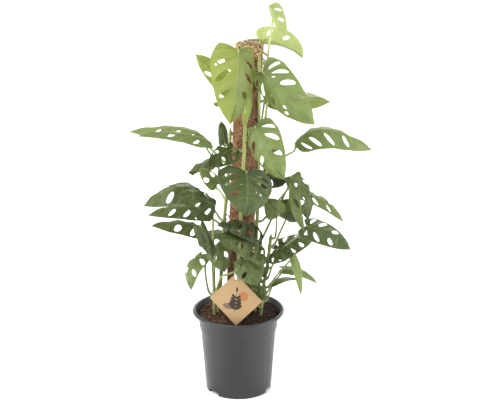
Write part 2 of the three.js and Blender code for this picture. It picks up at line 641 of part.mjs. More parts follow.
// The petiole starts just off the stem and ends inside the rib
function makePetiole(leaf, form) {
  const stemPoint = stemPointAt(leaf.stem, leaf.node);
  const via = (leaf.via ?? []).map(point);
  const out = (via[0] ?? point(leaf.base)).clone().sub(stemPoint).setZ(0).normalize();
  if (leaf.bearing !== undefined) {
    out.set(Math.cos(radians(leaf.bearing)), Math.sin(radians(leaf.bearing)), 0);
  }
  const secondRib = veinEnds(leaf.panels, 1, leaf.lobes ?? usualLobes).start;
  const end = form.place(0, 0).lerp(form.place(secondRib, 0), Math.min(1, petioleEnd / secondRib));
  const root = stemPoint.clone().addScaledVector(out, stemRadius + petioleGap);
  const reach = end.distanceTo(root);
  const arrive = form.rise.clone().multiplyScalar(0.8).addScaledVector(up, 0.5).normalize();
  const start = root.clone().addScaledVector(out, 5).addScaledVector(up, 1.5);
  const before = end.clone().addScaledVector(arrive, -Math.min(22, reach * 0.3));
  const path = [root, start, ...via];
  if (via.length === 0) {
    const first = start.clone().addScaledVector(out, reach * 0.12).addScaledVector(up, reach * 0.2);
    const rise = new THREE.CubicBezierCurve3(start, first, before, end);
    path.push(rise.getPoint(0.33), rise.getPoint(0.6));
  }
  path.push(before.lerp(end, 0.35), end.addScaledVector(arrive, 0.4));
  return toSolid(tube(new THREE.CatmullRomCurve3(path), petioleRadius, petioleSides, petioleStep));
}

function makeLeaf(leaf) {
  const form = leafForm(leaf);
  return fromSolid(makeBlade(leaf, form).add(makePetiole(leaf, form)));
}

// Card tag, hung by its plastic loop from a petiole
function makeCard() {
  const card = new THREE.BoxGeometry(cardSide, cardThickness, cardSide).rotateY(radians(45));
  const slot = new THREE.BoxGeometry(cardSlotWidth, 10, cardSlotHeight).translate(0, 0, slotHeight);
  return fromSolid(toSolid(card).subtract(toSolid(slot)));
}

function ringShape(halfWidth, bottom, top) {
  const shape = new THREE.Shape();
  shape.absarc(0, top - halfWidth, halfWidth, 0, Math.PI);
  shape.absarc(0, bottom + halfWidth, halfWidth, Math.PI, 2 * Math.PI);
  return shape;
}

function makeStrap(slot) {
  const inside = strapInside / 2;
  const seat = strapSeat[2] + petioleRadius + seatGap + strapSlack;
  const under = slot.z + cardSlotHeight / 2 - 3 * seatGap - strapThickness;
  const ring = ringShape(inside + strapThickness, under, seat + strapThickness);
  ring.holes.push(ringShape(inside, under + strapThickness, seat));
  const form = { depth: strapWidth, bevelEnabled: false, curveSegments: 4 };
  const strap = new THREE.ExtrudeGeometry(ring, form);
  strap.translate(0, 0, -strapWidth / 2);
  strap.applyMatrix4(new THREE.Matrix4().makeBasis(point([0, 1, 0]), point([0, 0, 1]), point([1, 0, 0])));
  return closed(strap.translate(strapSeat[0], strapSeat[1], 0));
}

const model = new THREE.Group();

function addPiece(name, geometry, colour, roughness, parent = model) {
  const material = new THREE.MeshStandardMaterial({ color: colours[colour], roughness, metalness: 0 });
  const mesh = new THREE.Mesh(geometry, material);
  mesh.name = name;
  parent.add(mesh);
  return mesh;
}

addPiece("pot", makePot(), "pot", 0.45);
addPiece("soil", makeSoil(), "soil", 0.95);
addPiece("coir_sleeve", makeSleeve(), "coir", 0.95);
addPiece("pole_core", makeStake(), "stake", 0.8);
for (const name of Object.keys(stemCurves)) {
  addPiece(`stem_${name}`, closed(tube(stemCurves[name], stemRadius, stemSides, stemStep)), "stem", 0.5);
}
for (const leaf of leaves) {
  addPiece(leaf.name, makeLeaf(leaf), leaf.tone, 0.4);
}
const tag = new THREE.Group();
tag.position.set(...cardCentre);
tag.rotation.set(radians(-cardLean), 0, radians(-cardYaw));
tag.updateMatrix();
addPiece("tag_card", makeCard(), "card", 0.8, tag);
model.add(tag);
addPiece("tag_strap", makeStrap(point([0, 0, slotHeight]).applyMatrix4(tag.matrix)), "strap", 0.5);

export default model;
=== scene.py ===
# A swiss cheese vine that climbs a coir pole in a nursery pot, with a kraft card tag.
# The sizes below are in millimetres. The finished pieces are scaled to metres.
import math
import random
import bpy
import bmesh
from mathutils import Matrix, Vector, noise


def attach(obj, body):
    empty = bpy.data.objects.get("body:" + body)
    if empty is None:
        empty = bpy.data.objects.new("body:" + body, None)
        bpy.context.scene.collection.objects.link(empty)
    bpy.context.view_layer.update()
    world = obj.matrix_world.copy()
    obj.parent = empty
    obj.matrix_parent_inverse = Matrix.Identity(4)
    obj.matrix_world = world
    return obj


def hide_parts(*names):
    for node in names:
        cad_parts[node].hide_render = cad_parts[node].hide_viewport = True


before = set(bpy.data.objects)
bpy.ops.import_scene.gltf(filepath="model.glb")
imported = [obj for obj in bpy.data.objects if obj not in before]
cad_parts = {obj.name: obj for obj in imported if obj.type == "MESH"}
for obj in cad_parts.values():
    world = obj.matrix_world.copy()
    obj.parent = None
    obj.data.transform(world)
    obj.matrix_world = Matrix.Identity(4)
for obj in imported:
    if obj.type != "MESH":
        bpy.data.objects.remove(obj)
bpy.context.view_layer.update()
metre = 0.001
fullTurn = 2 * math.pi


def link(name, data):
    made = bpy.data.objects.new(name, data)
    bpy.context.scene.collection.objects.link(made)
    return made


# Camera, floor and light
view = {
    "place": (21.6, -2600, 1248),
    "pitchDown": 18.66,
    "lens": 108.9,
    "sensor": 36,
    "farthest": 60,  # in metres
}

studio = {
    "floorHalf": 9000, "floorCells": 8, "floorRoughness": 0.9,
    "floorColour": (0.93, 0.93, 0.93), "floorCloud": (0.8, 0.8, 0.8), "cloudShare": 0.1,
    "world": (1.0, 1.0, 1.0), "worldStrength": 0.62,
    "sunStrength": 2.3, "sunPlace": (-1.2, -1.6, 3.4), "sunSpread": 50,
    # name: place, aimed at, size, watts, colour
    "lamps": {
        "leftLight": ((-1700, -500, 900), (0, 0, 330), 1100, 27, (1.0, 0.99, 0.97)),
        "rightLight": ((1800, -400, 800), (0, 0, 300), 1100, 30, (0.98, 0.99, 1.0)),
        "backLight": ((300, 1900, 1700), (0, 0, 450), 1300, 36, (1.0, 0.99, 0.96)),
    },
}


def makeCamera():
    camera = link("camera", bpy.data.cameras.new("camera"))
    camera.data.lens = view["lens"]
    camera.data.sensor_width = view["sensor"]
    camera.data.clip_end = view["farthest"]
    camera.location = Vector(view["place"]) * metre
    camera.rotation_euler = (math.radians(90 - view["pitchDown"]), 0, 0)
    bpy.context.scene.camera = camera


def makeLamps():
    for name, (place, target, size, watts, colour) in studio["lamps"].items():
        lamp = link(name, bpy.data.lights.new(name, "AREA"))
        lamp.data.shape = "DISK"
        lamp.data.size = size * metre
        lamp.data.energy = watts
        lamp.data.color = colour
        lamp.location = Vector(place) * metre
        lamp.rotation_euler = (Vector(target) - Vector(place)).to_track_quat("-Z", "Y").to_euler()
    sun = link("topLight", bpy.data.lights.new("topLight", "SUN"))
    sun.data.energy = studio["sunStrength"]
    sun.data.angle = math.radians(studio["sunSpread"])
    sun.rotation_euler = Vector(studio["sunPlace"]).to_track_quat("Z", "Y").to_euler()
    world = bpy.data.worlds.new("studio")
    world.use_nodes = True
    sky = world.node_tree.nodes["Background"]
    sky.inputs["Color"].default_value = (*studio["world"], 1)
    sky.inputs["Strength"].default_value = studio["worldStrength"]
    bpy.context.scene.world = world
    bpy.context.scene.view_settings.view_transform = "Standard"


# Small helpers for materials. Each adds its nodes to the newest material.
shader = {"tree": None}


def newMaterial(name):
    material = bpy.data.materials.new(name)
    material.use_nodes = True
    shader["tree"] = material.node_tree
    shader["tree"].nodes.clear()
    return material


def put(kind, inputs=None, **settings):
    node = shader["tree"].nodes.new("ShaderNode" + kind)
    for name, value in settings.items():
        setattr(node, name, value)
    for key, value in (inputs or {}).items():
        socket = node.inputs[key]
        if isinstance(value, bpy.types.NodeSocket):
            shader["tree"].links.new(value, socket)
        elif hasattr(value, "__len__") and len(value) == 3 and len(socket.default_value) == 4:
            socket.default_value = (*value, 1)
        else:
            socket.default_value = value
    return node


def calc(operation, *values):
    return put("Math", dict(enumerate(values)), operation=operation).outputs[0]


def times(one, two):
    return calc("MULTIPLY", one, two)


def plus(one, two):
    return calc("ADD", one, two)


def timesPlus(one, two, three):
    return calc("MULTIPLY_ADD", one, two, three)


def clamped(value):
    return put("Clamp", {0: value}).outputs[0]


# a soft step: 1 below low, 0 above high
def fade(value, low, high):
    ends = {"Value": value, "From Min": low, "From Max": high, "To Min": 1.0, "To Max": 0.0}
    return put("MapRange", ends, interpolation_type="SMOOTHSTEP").outputs[0]


# 0 below low, 1 above high
def ramped(value, low, high):
    return put("MapRange", {"Value": value, "From Min": low, "From Max": high}).outputs[0]


def mixColour(share, one, two):
    return put("Mix", {0: share, 6: one, 7: two}, data_type="RGBA").outputs[2]


def objectPlace(stretch=None):
    place = put("TexCoord").outputs["Object"]
    return put("Mapping", {"Vector": place, "Scale": stretch}).outputs[0] if stretch else place


def axisOf(place, axis):
    return put("SeparateXYZ", {0: place}).outputs["XYZ".index(axis)]


def attribute(name):
    return put("Attribute", attribute_name=name).outputs["Fac"]


def noiseAt(place, scale, detail, roughness=0.55):
    inputs = {"Vector": place, "Scale": scale, "Detail": detail, "Roughness": roughness}
    return put("TexNoise", inputs).outputs["Fac"]


def bump(height, distance, strength=1.0):
    return put("Bump", {"Height": height, "Distance": distance, "Strength": strength}).outputs[0]


def principled(colour, roughness, normal=None, gloss=None):
    inputs = {"Base Color": colour, "Roughness": roughness}
    if normal is not None:
        inputs["Normal"] = normal
    if gloss is not None:
        inputs["Specular IOR Level"] = gloss
    return put("BsdfPrincipled", inputs).outputs[0]


def output(surface):
    put("OutputMaterial", {"Surface": surface})


# Small helpers for shapes
def meshOf(bm, name):
    mesh = bpy.data.meshes.new(name)
    bm.to_mesh(mesh)
    bm.free()
    return mesh


def meshOfCurve(curve):
    draft = link("draft", curve)
    mesh = bpy.data.meshes.new_from_object(draft)
    bpy.data.objects.remove(draft)
    bpy.data.curves.remove(curve)
    return mesh


# A finished piece, with the solid that it stands for, if there is one
def placePiece(mesh, name, materials, slot, *nodes):
    piece = link(name, mesh)
    for material in materials:
        mesh.materials.append(material)
    if nodes:
        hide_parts(*nodes)
    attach(piece, "root")


def addPiece(bm, name, materials, slot, *nodes):
    bmesh.ops.scale(bm, vec=(metre, metre, metre), verts=bm.verts)
    placePiece(meshOf(bm, name), name, materials, slot, *nodes)


# The shape with its modifiers applied, as a new bmesh
def applied(bm, *modifiers):
    mesh = meshOf(bm, "draft")
    draft = link("draft", mesh)
    for kind, settings in modifiers:
        modifier = draft.modifiers.new(kind.lower(), kind)
        for name, value in settings.items():
            setattr(modifier, name, value)
    bpy.context.view_layer.update()
    result = bmesh.new()
    result.from_object(draft, bpy.context.evaluated_depsgraph_get())
    bpy.data.objects.remove(draft)
    bpy.data.meshes.remove(mesh)
    return result


def cutAway(bm, cutters):
    mesh = meshOf(cutters, "cutter")
    cutter = link("cutter", mesh)
    result = applied(bm, ("BOOLEAN", {"operation": "DIFFERENCE", "solver": "EXACT", "object": cutter}))
    bpy.data.objects.remove(cutter)
    bpy.data.meshes.remove(mesh)
    return result


def turnAbout(axis, degrees, size=4):
    return Matrix.Rotation(math.radians(degrees), size, axis)


def bevelSharp(bm, angle, width, segments=3):
    edges = [edge for edge in bm.edges if len(edge.link_faces) == 2
             and edge.calc_face_angle(0) > math.radians(angle)]
    bmesh.ops.bevel(bm, geom=edges, offset=width, segments=segments, profile=0.5, affect="EDGES",
                    material=-1, offset_type="OFFSET", clamp_overlap=True)


def smoothShade(bm, sharpAngle=40):
    for face in bm.faces:
        face.smooth = True
    for edge in bm.edges:
        edge.smooth = len(edge.link_faces) == 2 and edge.calc_face_angle(0) < math.radians(sharpAngle)


# Turns a profile of (radius, height) points once round the upright axis
def turned(bm, profile, steps):
    corners = [bm.verts.new((radius, 0, height)) for radius, height in profile]
    edges = [bm.edges.new(pair) for pair in zip(corners, corners[1:])]
    bmesh.ops.spin(bm, geom=corners + edges, cent=(0, 0, 0), axis=(0, 0, 1), dvec=(0, 0, 0),
                   angle=fullTurn, steps=steps, use_merge=True, use_duplicate=False)
    bmesh.ops.remove_doubles(bm, verts=bm.verts, dist=0.01)
    bmesh.ops.recalc_face_normals(bm, faces=bm.faces)


# A tube along a path, extruded ring by ring. radii holds one radius per point.
def tube(bm, path, radii, sides, materialIndex=0):
    start = bmesh.ops.create_circle(bm, segments=sides, radius=1, cap_ends=False)
    ring = start["verts"]
    edges = list({edge for corner in ring for edge in corner.link_edges})
    made = set()
    turn = Vector((0, 0, 1)).rotation_difference(path[1] - path[0])
    placed = Matrix.Identity(4)
    lastWay = path[1] - path[0]
    caps = [edges]
    for i, (spot, radius) in enumerate(zip(path, radii)):
        way = path[min(i + 1, len(path) - 1)] - path[max(i - 1, 0)]
        if i:
            turn = lastWay.rotation_difference(way) @ turn
            lastWay = way
            grown = bmesh.ops.extrude_edge_only(bm, edges=edges)["geom"]
            ring = [part for part in grown if isinstance(part, bmesh.types.BMVert)]
            edges = [part for part in grown if isinstance(part, bmesh.types.BMEdge)
                     and all(corner in ring for corner in part.verts)]
            made.update(part for part in grown if isinstance(part, bmesh.types.BMFace))
        goal = Matrix.Translation(spot) @ turn.to_matrix().to_4x4() @ Matrix.Scale(radius, 4)
        bmesh.ops.transform(bm, matrix=goal @ placed.inverted(), verts=ring)
        placed = goal
    caps.append(edges)
    for rim in caps:
        made.update(bmesh.ops.contextual_create(bm, geom=rim)["faces"])
    bmesh.ops.recalc_face_normals(bm, faces=list(made))
    for face in made:
        face.material_index = materialIndex
        face.smooth = True
    return list(made)


# A centripetal Catmull-Rom curve through the points, with a number of steps between each two
def smoothPath(points, steps):
    spots = [Vector(spot) for spot in points]
    spots = [spots[0] * 2 - spots[1]] + spots + [spots[-1] * 2 - spots[-2]]
    path = []
    for p0, p1, p2, p3 in zip(spots, spots[1:], spots[2:], spots[3:]):
        d0, d1, d2 = [max((b - a).length, 1e-6) ** 0.5 for a, b in ((p0, p1), (p1, p2), (p2, p3))]
        leave = ((p1 - p0) / d0 - (p2 - p0) / (d0 + d1) + (p2 - p1) / d1) * d1
        reach = ((p2 - p1) / d1 - (p3 - p1) / (d1 + d2) + (p3 - p2) / d2) * d1
        for j in range(steps):
            t = j / steps
            path.append(p1 + leave * t + ((p2 - p1) * 3 - leave * 2 - reach) * t ** 2
                        + ((p1 - p2) * 2 + leave + reach) * t ** 3)
    path.append(spots[-2])
    return path


# How far along the path each of its points lies
def distances(path):
    lengths = [0]
    for one, two in zip(path, path[1:]):
        lengths.append(lengths[-1] + (two - one).length)
    return lengths


# Spaces a path evenly, about gap apart
def evenPath(path, gap):
    lengths = distances(path)
    count = max(3, round(lengths[-1] / gap))
    even = []
    k = 0
    for i in range(count + 1):
        goal = lengths[-1] * i / count
        while k < len(path) - 2 and lengths[k + 1] < goal:
            k += 1
        span = max(lengths[k + 1] - lengths[k], 1e-9)
        even.append(path[k].lerp(path[k + 1], min((goal - lengths[k]) / span, 1)))
    return even


# Leaves from the top down. 39 to 44 are at the back, and 45 is a small one low on the right. A row holds what
# leafKeys names: tone, stem, height of the node on it, the midrib's two ends, the way the upper side looks,
# width, bow of the midrib, degrees that each half turns down at the rib and on towards its edge, and how many
# stretches lie between its side veins. A leaf's own changes follow: points that its petiole passes, the
# bearing it leaves the stem at, the place of the bow's peak, lobes, the first stretch with holes, their size,
# the chance of slits, and the shade from 0, light, to 1, dark, which may be a pair, one for each half.
# A pair paints light and shade: the half turned away from the light is darker, the backlit half lighter.
leafKeys = ("name", "tone", "stem", "node", "base", "tip", "face", "width", "arch", "fold", "curl", "panels")
leafRows = [
    ("01", "young", "right", 520, (55, -14, 729), (84, -48, 682), (-0.6, -0.7, 0.3), 44, 0.1, 45, 20, 3,
     {"via": [(54, -14, 650)], "bearing": -10}),
    ("02", "young", "right", 600, (43, 42, 652), (116, 18, 629), (-0.1, -0.1, 1), 76, 0.11, -32, 5, 3,
     {"via": [(54, 12, 632)], "bearing": 15, "peak": 0.55, "lobes": 3.2, "holeSize": 0.7, "shade": 0}),
    ("03", "bright", "back", 530, (-14, 36, 570), (-76, 45, 630), (0.3, -0.9, 0.3), 42, 0.05, 5, 10, 3,
     {"shade": 0.15}),
    # 04's pair is painted shade on the half turned away from the light, and painted light on the backlit half
    ("04", "bright", "front", 560, (1, -56, 661), (-13, -92, 537), (0.42, -0.86, 0.3), 96, 0.1, 22, 15, 5,
     {"shade": (0.85, 0.25), "holesFrom": 2, "slits": 0}),
    ("05", "mature", "right", 560, (42, -47, 621), (134, -84, 535), (-0.22, -0.9, 0.05), 84, 0.12, 24, 20, 5,
     {"bearing": -15, "shade": 0.05}),
    ("06", "bright", "right", 500, (48, 28, 552), (168, 45, 541), (0, -0.45, 0.87), 60, 0.07, 10, 20, 3,
     {"lobes": 1.2, "shade": 0.8}),
    ("07", "mature", "right", 470, (30, -54, 524), (82, -100, 440), (-0.28, -0.9, 0.12), 80, 0.15, 24, 25, 4,
     {"lobes": 2.4, "shade": 0.2}),
    ("08", "mature", "right", 420, (103, 0, 478), (243, 10, 460), (0, -0.25, 0.96), 84, 0.26, 26, 10, 5,
     {"peak": 0.25, "lobes": 1.4, "shade": 0.25}),
    ("09", "bright", "front", 545, (24, -52, 580), (10, -64, 522), (0.85, -0.45, 0.25), 36, 0.08, 20, 20, 2),
    ("10", "mature", "left", 440, (-57, 6, 484), (-199, 26, 491), (0, -0.1, 1), 66, 0.13, 25, 15, 5,
     {"peak": 0.25, "lobes": 1.8, "shade": 0.2}),
    ("11", "mature", "left", 410, (-54, -44, 497), (-176, -60, 507), (0.1, -0.1, 1), 38, 0.1, 30, 20, 3,
     {"shade": 0.4}),
    ("12", "deep", "left", 455, (-24, 42, 464), (-31, 60, 502), (0.2, -0.9, 0.2), 34, 0.1, 30, 50, 1,
     {"shade": 0.7}),
    ("13", "deep", "front", 472, (-8, -58, 486), (-52, -62, 452), (-0.3, 0.85, 0.3), 54, 0.1, 10, 20, 3,
     {"shade": 0.4}),
    ("14", "mature", "front", 430, (15, -64, 445), (15, -132, 384), (0.25, -0.7, 0.65), 104, 0.12, 10, 15, 5,
     {"lobes": 3.2, "shade": 1, "holesFrom": 2, "holeSize": 0.85, "slits": 0.8}),
    ("15", "mature", "left", 330, (-64, 32, 374), (-174, 18, 351), (-0.1, -0.35, 0.93), 84, 0.25, 25, 15, 4,
     {"peak": 0.35, "shade": 0.85}),
    ("16", "deep", "lowerLeft", 288, (-40, -66, 382), (-104, -84, 408), (0.2, -0.6, 0.7), 76, 0.15, 20, 38, 3,
     {"shade": 0.6}),
    ("17", "deep", "lowerLeft", 296, (-66, -100, 357), (-42, -104, 298), (0.3, -0.9, 0.2), 40, 0.1, 30, 40, 1,
     {"via": [(-68, -60, 304)], "shade": 0.75}),
    ("18", "deep", "left", 325, (-66, -22, 362), (-162, -44, 355), (0, -0.2, 0.97), 56, 0.12, 28, 20, 4,
     {"shade": 0.3}),
    ("19", "deep", "lowerLeft", 264, (-68, -44, 335), (-153, -86, 350), (0, -0.3, 0.95), 54, 0.1, 28, 20, 3,
     {"shade": 0.3}),
    ("20", "mature", "left", 370, (-40, 40, 386), (-72, 54, 414), (0.3, -0.8, 0.4), 32, 0.1, 10, 20, 2,
     {"shade": 0.1}),
    ("21", "deep", "front", 330, (34, -59, 340), (-36, -95, 354), (0.1, -0.05, 1), 82, 0.1, 15, 40, 4,
     {"shade": 0.9}),
    ("22", "deep", "front", 285, (43, -70, 307), (-38, -110, 336), (0, -0.4, 0.9), 84, 0.1, 15, 20, 4,
     {"shade": 0.5}),
    ("23", "mature", "lowerLeft", 196, (13, -68, 283), (35, -96, 241), (-0.2, -0.85, 0.5), 60, 0.12, 10, 20,
     3, {"via": [(-29, -52, 242), (-14.5, -58.7, 250), (-4, -58.7, 254), (6.5, -59.7, 258)], "shade": 0.75}),
    ("24", "deep", "lowerRight", 190, (28, -34, 266), (51, -30, 232), (-0.3, -0.85, 0.4), 46, 0.1, 10, 20, 2,
     {"shade": 0.5}),
    ("25", "mature", "lowerLeft", 190, (-67, -4, 266), (-86, -24, 203), (-0.6, -0.5, 0.6), 46, 0.25, 10, 20,
     3, {"via": [(-61, -6, 238)], "shade": 0.4}),
    ("26", "mature", "lowerLeft", 240, (-40, -40, 298), (-24, -50, 249), (0.2, -0.95, 0.1), 46, 0.1, 15, 20,
     2, {"shade": 0.7}),
    ("27", "deep", "right", 380, (46, 32, 414), (88, 55, 385), (0, -0.9, 0.4), 60, 0.1, 10, 30, 2,
     {"shade": 0.7}),
    ("28", "deep", "lowerRight", 298, (74, -14, 346), (50, -42, 388), (0, -0.95, 0.3), 42, 0.1, 5, 20, 1,
     {"shade": 0}),
    ("29", "deep", "lowerRight", 280, (84, 12, 330), (110, -12, 378), (0, -0.95, 0.3), 54, 0.1, 5, 30, 1,
     {"shade": 0.25}),
    ("30", "mature", "right", 330, (96, -16, 421), (119, -72, 334), (-0.7, -0.55, 0.45), 40, 0.18, 32, 30, 3,
     {"shade": 0.55}),
    ("31", "deep", "right", 290, (106, 36, 402), (128, 22, 322), (0.7, -0.6, 0.4), 56, 0.15, 10, 20, 3,
     {"shade": 0.35}),
    ("32", "mature", "back", 330, (119, 66, 364), (197, 62, 304), (0.45, -0.3, 0.85), 42, 0.12, 10, 15, 4,
     {"shade": 0.4}),
    ("33", "mature", "lowerRight", 262, (123, -30, 331), (203, -50, 292), (0.2, -0.7, 0.7), 50, 0.12, 8, 15,
     4, {"shade": 0.95}),
    ("34", "deep", "lowerRight", 240, (72, -2, 275), (140, 30, 285), (0, -0.55, 0.8), 48, 0.12, 10, 20, 4,
     {"shade": 0.4}),
    ("35", "deep", "lowerRight", 222, (62, -36, 281), (100, -70, 288), (0, -0.7, 0.7), 44, 0.1, 10, 20, 3,
     {"shade": 0.45}),
    ("36", "mature", "lowerRight", 205, (105, -48, 280), (113, -70, 212), (0.8, -0.5, 0.1), 32, 0.1, 30, 20,
     1, {"shade": 0.1}),
    ("37", "mature", "lowerRight", 184, (83, 34, 224), (149, 44, 188), (0.2, -0.3, 0.9), 28, 0.15, 10, 15, 1,
     {"shade": 0.35}),
    ("38", "mature", "lowerRight", 176, (62, -6, 211), (115, 22, 203), (0, 0.1, 1), 26, 0.15, 15, 15, 1,
     {"shade": 0.7}),
    ("39", "mature", "back", 590, (16, 64, 618), (4, 164, 574), (0, 0.3, 0.95), 80, 0.18, 8, 20, 4,
     {"shade": 0.3}),
    ("40", "mature", "back", 470, (-8, 62, 540), (-22, 148, 498), (-0.1, 0.35, 0.9), 72, 0.15, 10, 15, 3,
     {"shade": 0.5}),
    ("41", "mature", "back", 420, (34, 66, 462), (66, 152, 412), (0.2, 0.4, 0.85), 76, 0.15, 8, 20, 3,
     {"shade": 0.4}),
    ("42", "deep", "back", 360, (-38, 80, 416), (-88, 156, 366), (-0.3, 0.3, 0.85), 76, 0.15, 10, 20, 3),
    ("43", "deep", "back", 290, (22, 68, 345), (42, 160, 300), (0.1, 0.4, 0.9), 76, 0.18, 8, 15, 3),
    ("44", "deep", "back", 230, (-28, 62, 285), (-70, 122, 240), (-0.2, 0.3, 0.9), 62, 0.15, 10, 20, 3),
    ("45", "deep", "lowerRight", 168, (30, -30, 232), (48, -44, 190), (0.2, -0.9, 0.3), 34, 0.12, 25, 20, 2),
]
leaves = []
for row in leafRows:
    leaf = dict(zip(leafKeys, row))
    if len(row) > len(leafKeys):
        leaf.update(row[-1])
    leaves.append(leaf)


# The vine's green parts
stemLook = {
    "light": (0.37, 0.43, 0.15), "dark": (0.23, 0.29, 0.09), "low": (0.15, 0.19, 0.06),
    "foot": (0.22, 0.19, 0.09), "roughness": 0.42, "gloss": 0.35,
    "lowFade": (0.24, 0.5), "footFade": (0.14, 0.21),  # heights in metres
    "lowShare": 0.6, "toneShare": 0.55, "footShare": 0.55,
}

# light and dark are the ends of one range, in which each leaf has its own shade
# streak sets how much the colour varies in streaks, part tone and part painted highlight and shade on the
# pleats
leafLooks = {
    "young": {
        "light": (0.46, 0.51, 0.23), "dark": (0.33, 0.41, 0.09), "vein": (0.58, 0.65, 0.30),
        "under": (0.58, 0.64, 0.32), "through": (0.64, 0.74, 0.27), "share": 0.44,
        "roughness": 0.42, "gloss": 0.45, "crinkle": 0.3, "lines": 0.5, "streak": 0.5,
    },
    "bright": {
        "light": (0.34, 0.395, 0.075), "dark": (0.155, 0.20, 0.055), "vein": (0.44, 0.49, 0.17),
        "under": (0.32, 0.38, 0.13), "through": (0.52, 0.62, 0.07), "share": 0.32,
        "roughness": 0.40, "gloss": 0.45, "crinkle": 0.6, "lines": 0.5, "streak": 0.7,
    },
    "mature": {
        "light": (0.215, 0.28, 0.080), "dark": (0.047, 0.072, 0.017), "vein": (0.27, 0.335, 0.12),
        "under": (0.20, 0.255, 0.10), "through": (0.32, 0.42, 0.05), "share": 0.2,
        "roughness": 0.38, "gloss": 0.37, "crinkle": 1.0, "lines": 0.5, "streak": 0.8,
    },
    "deep": {
        "light": (0.105, 0.140, 0.030), "dark": (0.016, 0.028, 0.006), "vein": (0.155, 0.20, 0.060),
        "under": (0.18, 0.225, 0.09), "through": (0.15, 0.24, 0.025), "share": 0.14,
        "roughness": 0.40, "gloss": 0.31, "crinkle": 3.0, "lines": 0.7, "streak": 1.3,
    },
}

# Widths and counts are in stretches between side veins, or in shares of the way from the rib to the edge
leafPattern = {
    "blotches": 26, "grain": 420, "wrinkles": 130,
    "veinWidth": (-0.035, 0.05), "veinShare": 0.75, "ribWidth": (0.008, 0.035),
    "edgeWidth": 0.03, "edgeShare": 0.35, "fineCount": 7.0, "fineLean": 1.6, "fineBends": 90,
    "fineWander": 1.1, "fineWidth": (0.02, 0.16), "fineShare": 0.35,
    "net": (9.0, 14.0), "netScale": 1.6, "netWidth": 0.09, "netShare": 0.10, "netDepth": -0.14,
    # streaks: part tone, part painted highlight and shade on the pleats
    "streaks": (4.2, 1.1, 2.0), "streakScale": 1.7, "streakBump": 1.5,
    "blotchShare": 0.5, "middleShare": 0.45, "grainBump": 0.12, "bumpHeight": 0.0006, "bumpStrength": 0.8,
    "underLines": 0.7, "underGrain": 0.2, "underBump": 0.7, "underRoughness": 0.6,
    "roughnessRange": (-0.05, 0.1),
}


# The pattern of a leaf follows its own map: U counts the side veins, and V runs from edge to edge with the
# rib at 0
def leafMaterial(name, look, under):
    pattern = leafPattern
    material = newMaterial(name)
    spot = put("SeparateXYZ", {0: put("UVMap", uv_map="leafMap").outputs[0]})
    along, side = spot.outputs[0], spot.outputs[1]
    across = calc("ABSOLUTE", side)
    place = objectPlace()
    blotch = noiseAt(place, pattern["blotches"], 2)
    grain = noiseAt(place, pattern["grain"], 3)
    # side veins taper towards the edge
    toVein = calc("PINGPONG", along, 0.5)
    vein = fade(toVein, 0.0, timesPlus(across, *pattern["veinWidth"]))
    rib = fade(across, *pattern["ribWidth"])
    # fine veins run beside them and bend forward
    bent = plus(timesPlus(along, pattern["fineCount"], times(across, pattern["fineLean"])),
                times(noiseAt(place, pattern["fineBends"], 1), pattern["fineWander"]))
    fine = times(fade(calc("PINGPONG", bent, 0.5), *pattern["fineWidth"]), pattern["fineShare"])
    netPlace = put("CombineXYZ", {0: times(along, pattern["net"][0]), 1: times(side, pattern["net"][1])})
    net = put("TexVoronoi", {"Vector": netPlace.outputs[0], "Scale": pattern["netScale"]},
              feature="DISTANCE_TO_EDGE")
    netLine = fade(net.outputs["Distance"], 0.0, pattern["netWidth"])
    lines = calc("MAXIMUM", calc("MAXIMUM", times(vein, pattern["veinShare"]), rib), fine)
    edge = fade(calc("SUBTRACT", 1.0, across), 0.0, pattern["edgeWidth"])
    # soft streaks run with the side veins. In the colour they are part tone and part painted highlight and
    # shade on the pleats; they also feed the bump
    streakParts = [times(part, scale) for part, scale in zip((along, side, blotch), pattern["streaks"])]
    streakPlace = put("CombineXYZ", dict(enumerate(streakParts))).outputs[0]
    streak = plus(noiseAt(streakPlace, pattern["streakScale"], 3), -0.5)
    toneAndPaintedPleatLight = timesPlus(streak, look["streak"], attribute("leafTone"))
    mottled = timesPlus(blotch, pattern["blotchShare"], toneAndPaintedPleatLight)
    shade = clamped(plus(mottled, -0.5 * pattern["blotchShare"]))
    if under:
        base = mixColour(times(lines, pattern["underLines"]), look["under"], look["vein"])
        height = plus(lines, times(grain, pattern["underGrain"]))
        normal = bump(height, pattern["bumpHeight"], pattern["underBump"])
        roughness = pattern["underRoughness"]
    else:
        base = mixColour(shade, look["light"], look["dark"])
        # the skin between two side veins is a little darker in its middle
        swell = times(toVein, calc("SUBTRACT", 1.15, across))
        base = mixColour(times(swell, pattern["middleShare"]), base, look["dark"])
        for part, share in ((netLine, pattern["netShare"]), (lines, look["lines"]),
                            (edge, pattern["edgeShare"])):
            base = mixColour(times(part, share), base, look["vein"])
        sunk = timesPlus(lines, -1.0, times(netLine, pattern["netDepth"]))
        wrinkled = timesPlus(noiseAt(place, pattern["wrinkles"], 2), look["crinkle"], sunk)
        wrinkled = timesPlus(streak, look["crinkle"] + pattern["streakBump"], wrinkled)
        normal = bump(timesPlus(grain, pattern["grainBump"], wrinkled), pattern["bumpHeight"],
                      pattern["bumpStrength"])
        low, high = (look["roughness"] + step for step in pattern["roughnessRange"])
        roughness = put("MapRange", {"Value": blotch, "To Min": low, "To Max": high}).outputs[0]
    surface = principled(base, roughness, normal, look["gloss"])
    through = put("BsdfTranslucent", {"Color": mixColour(lines, look["through"], look["vein"])}).outputs[0]
    output(put("MixShader", {0: look["share"], 1: surface, 2: through}).outputs[0])
    return material


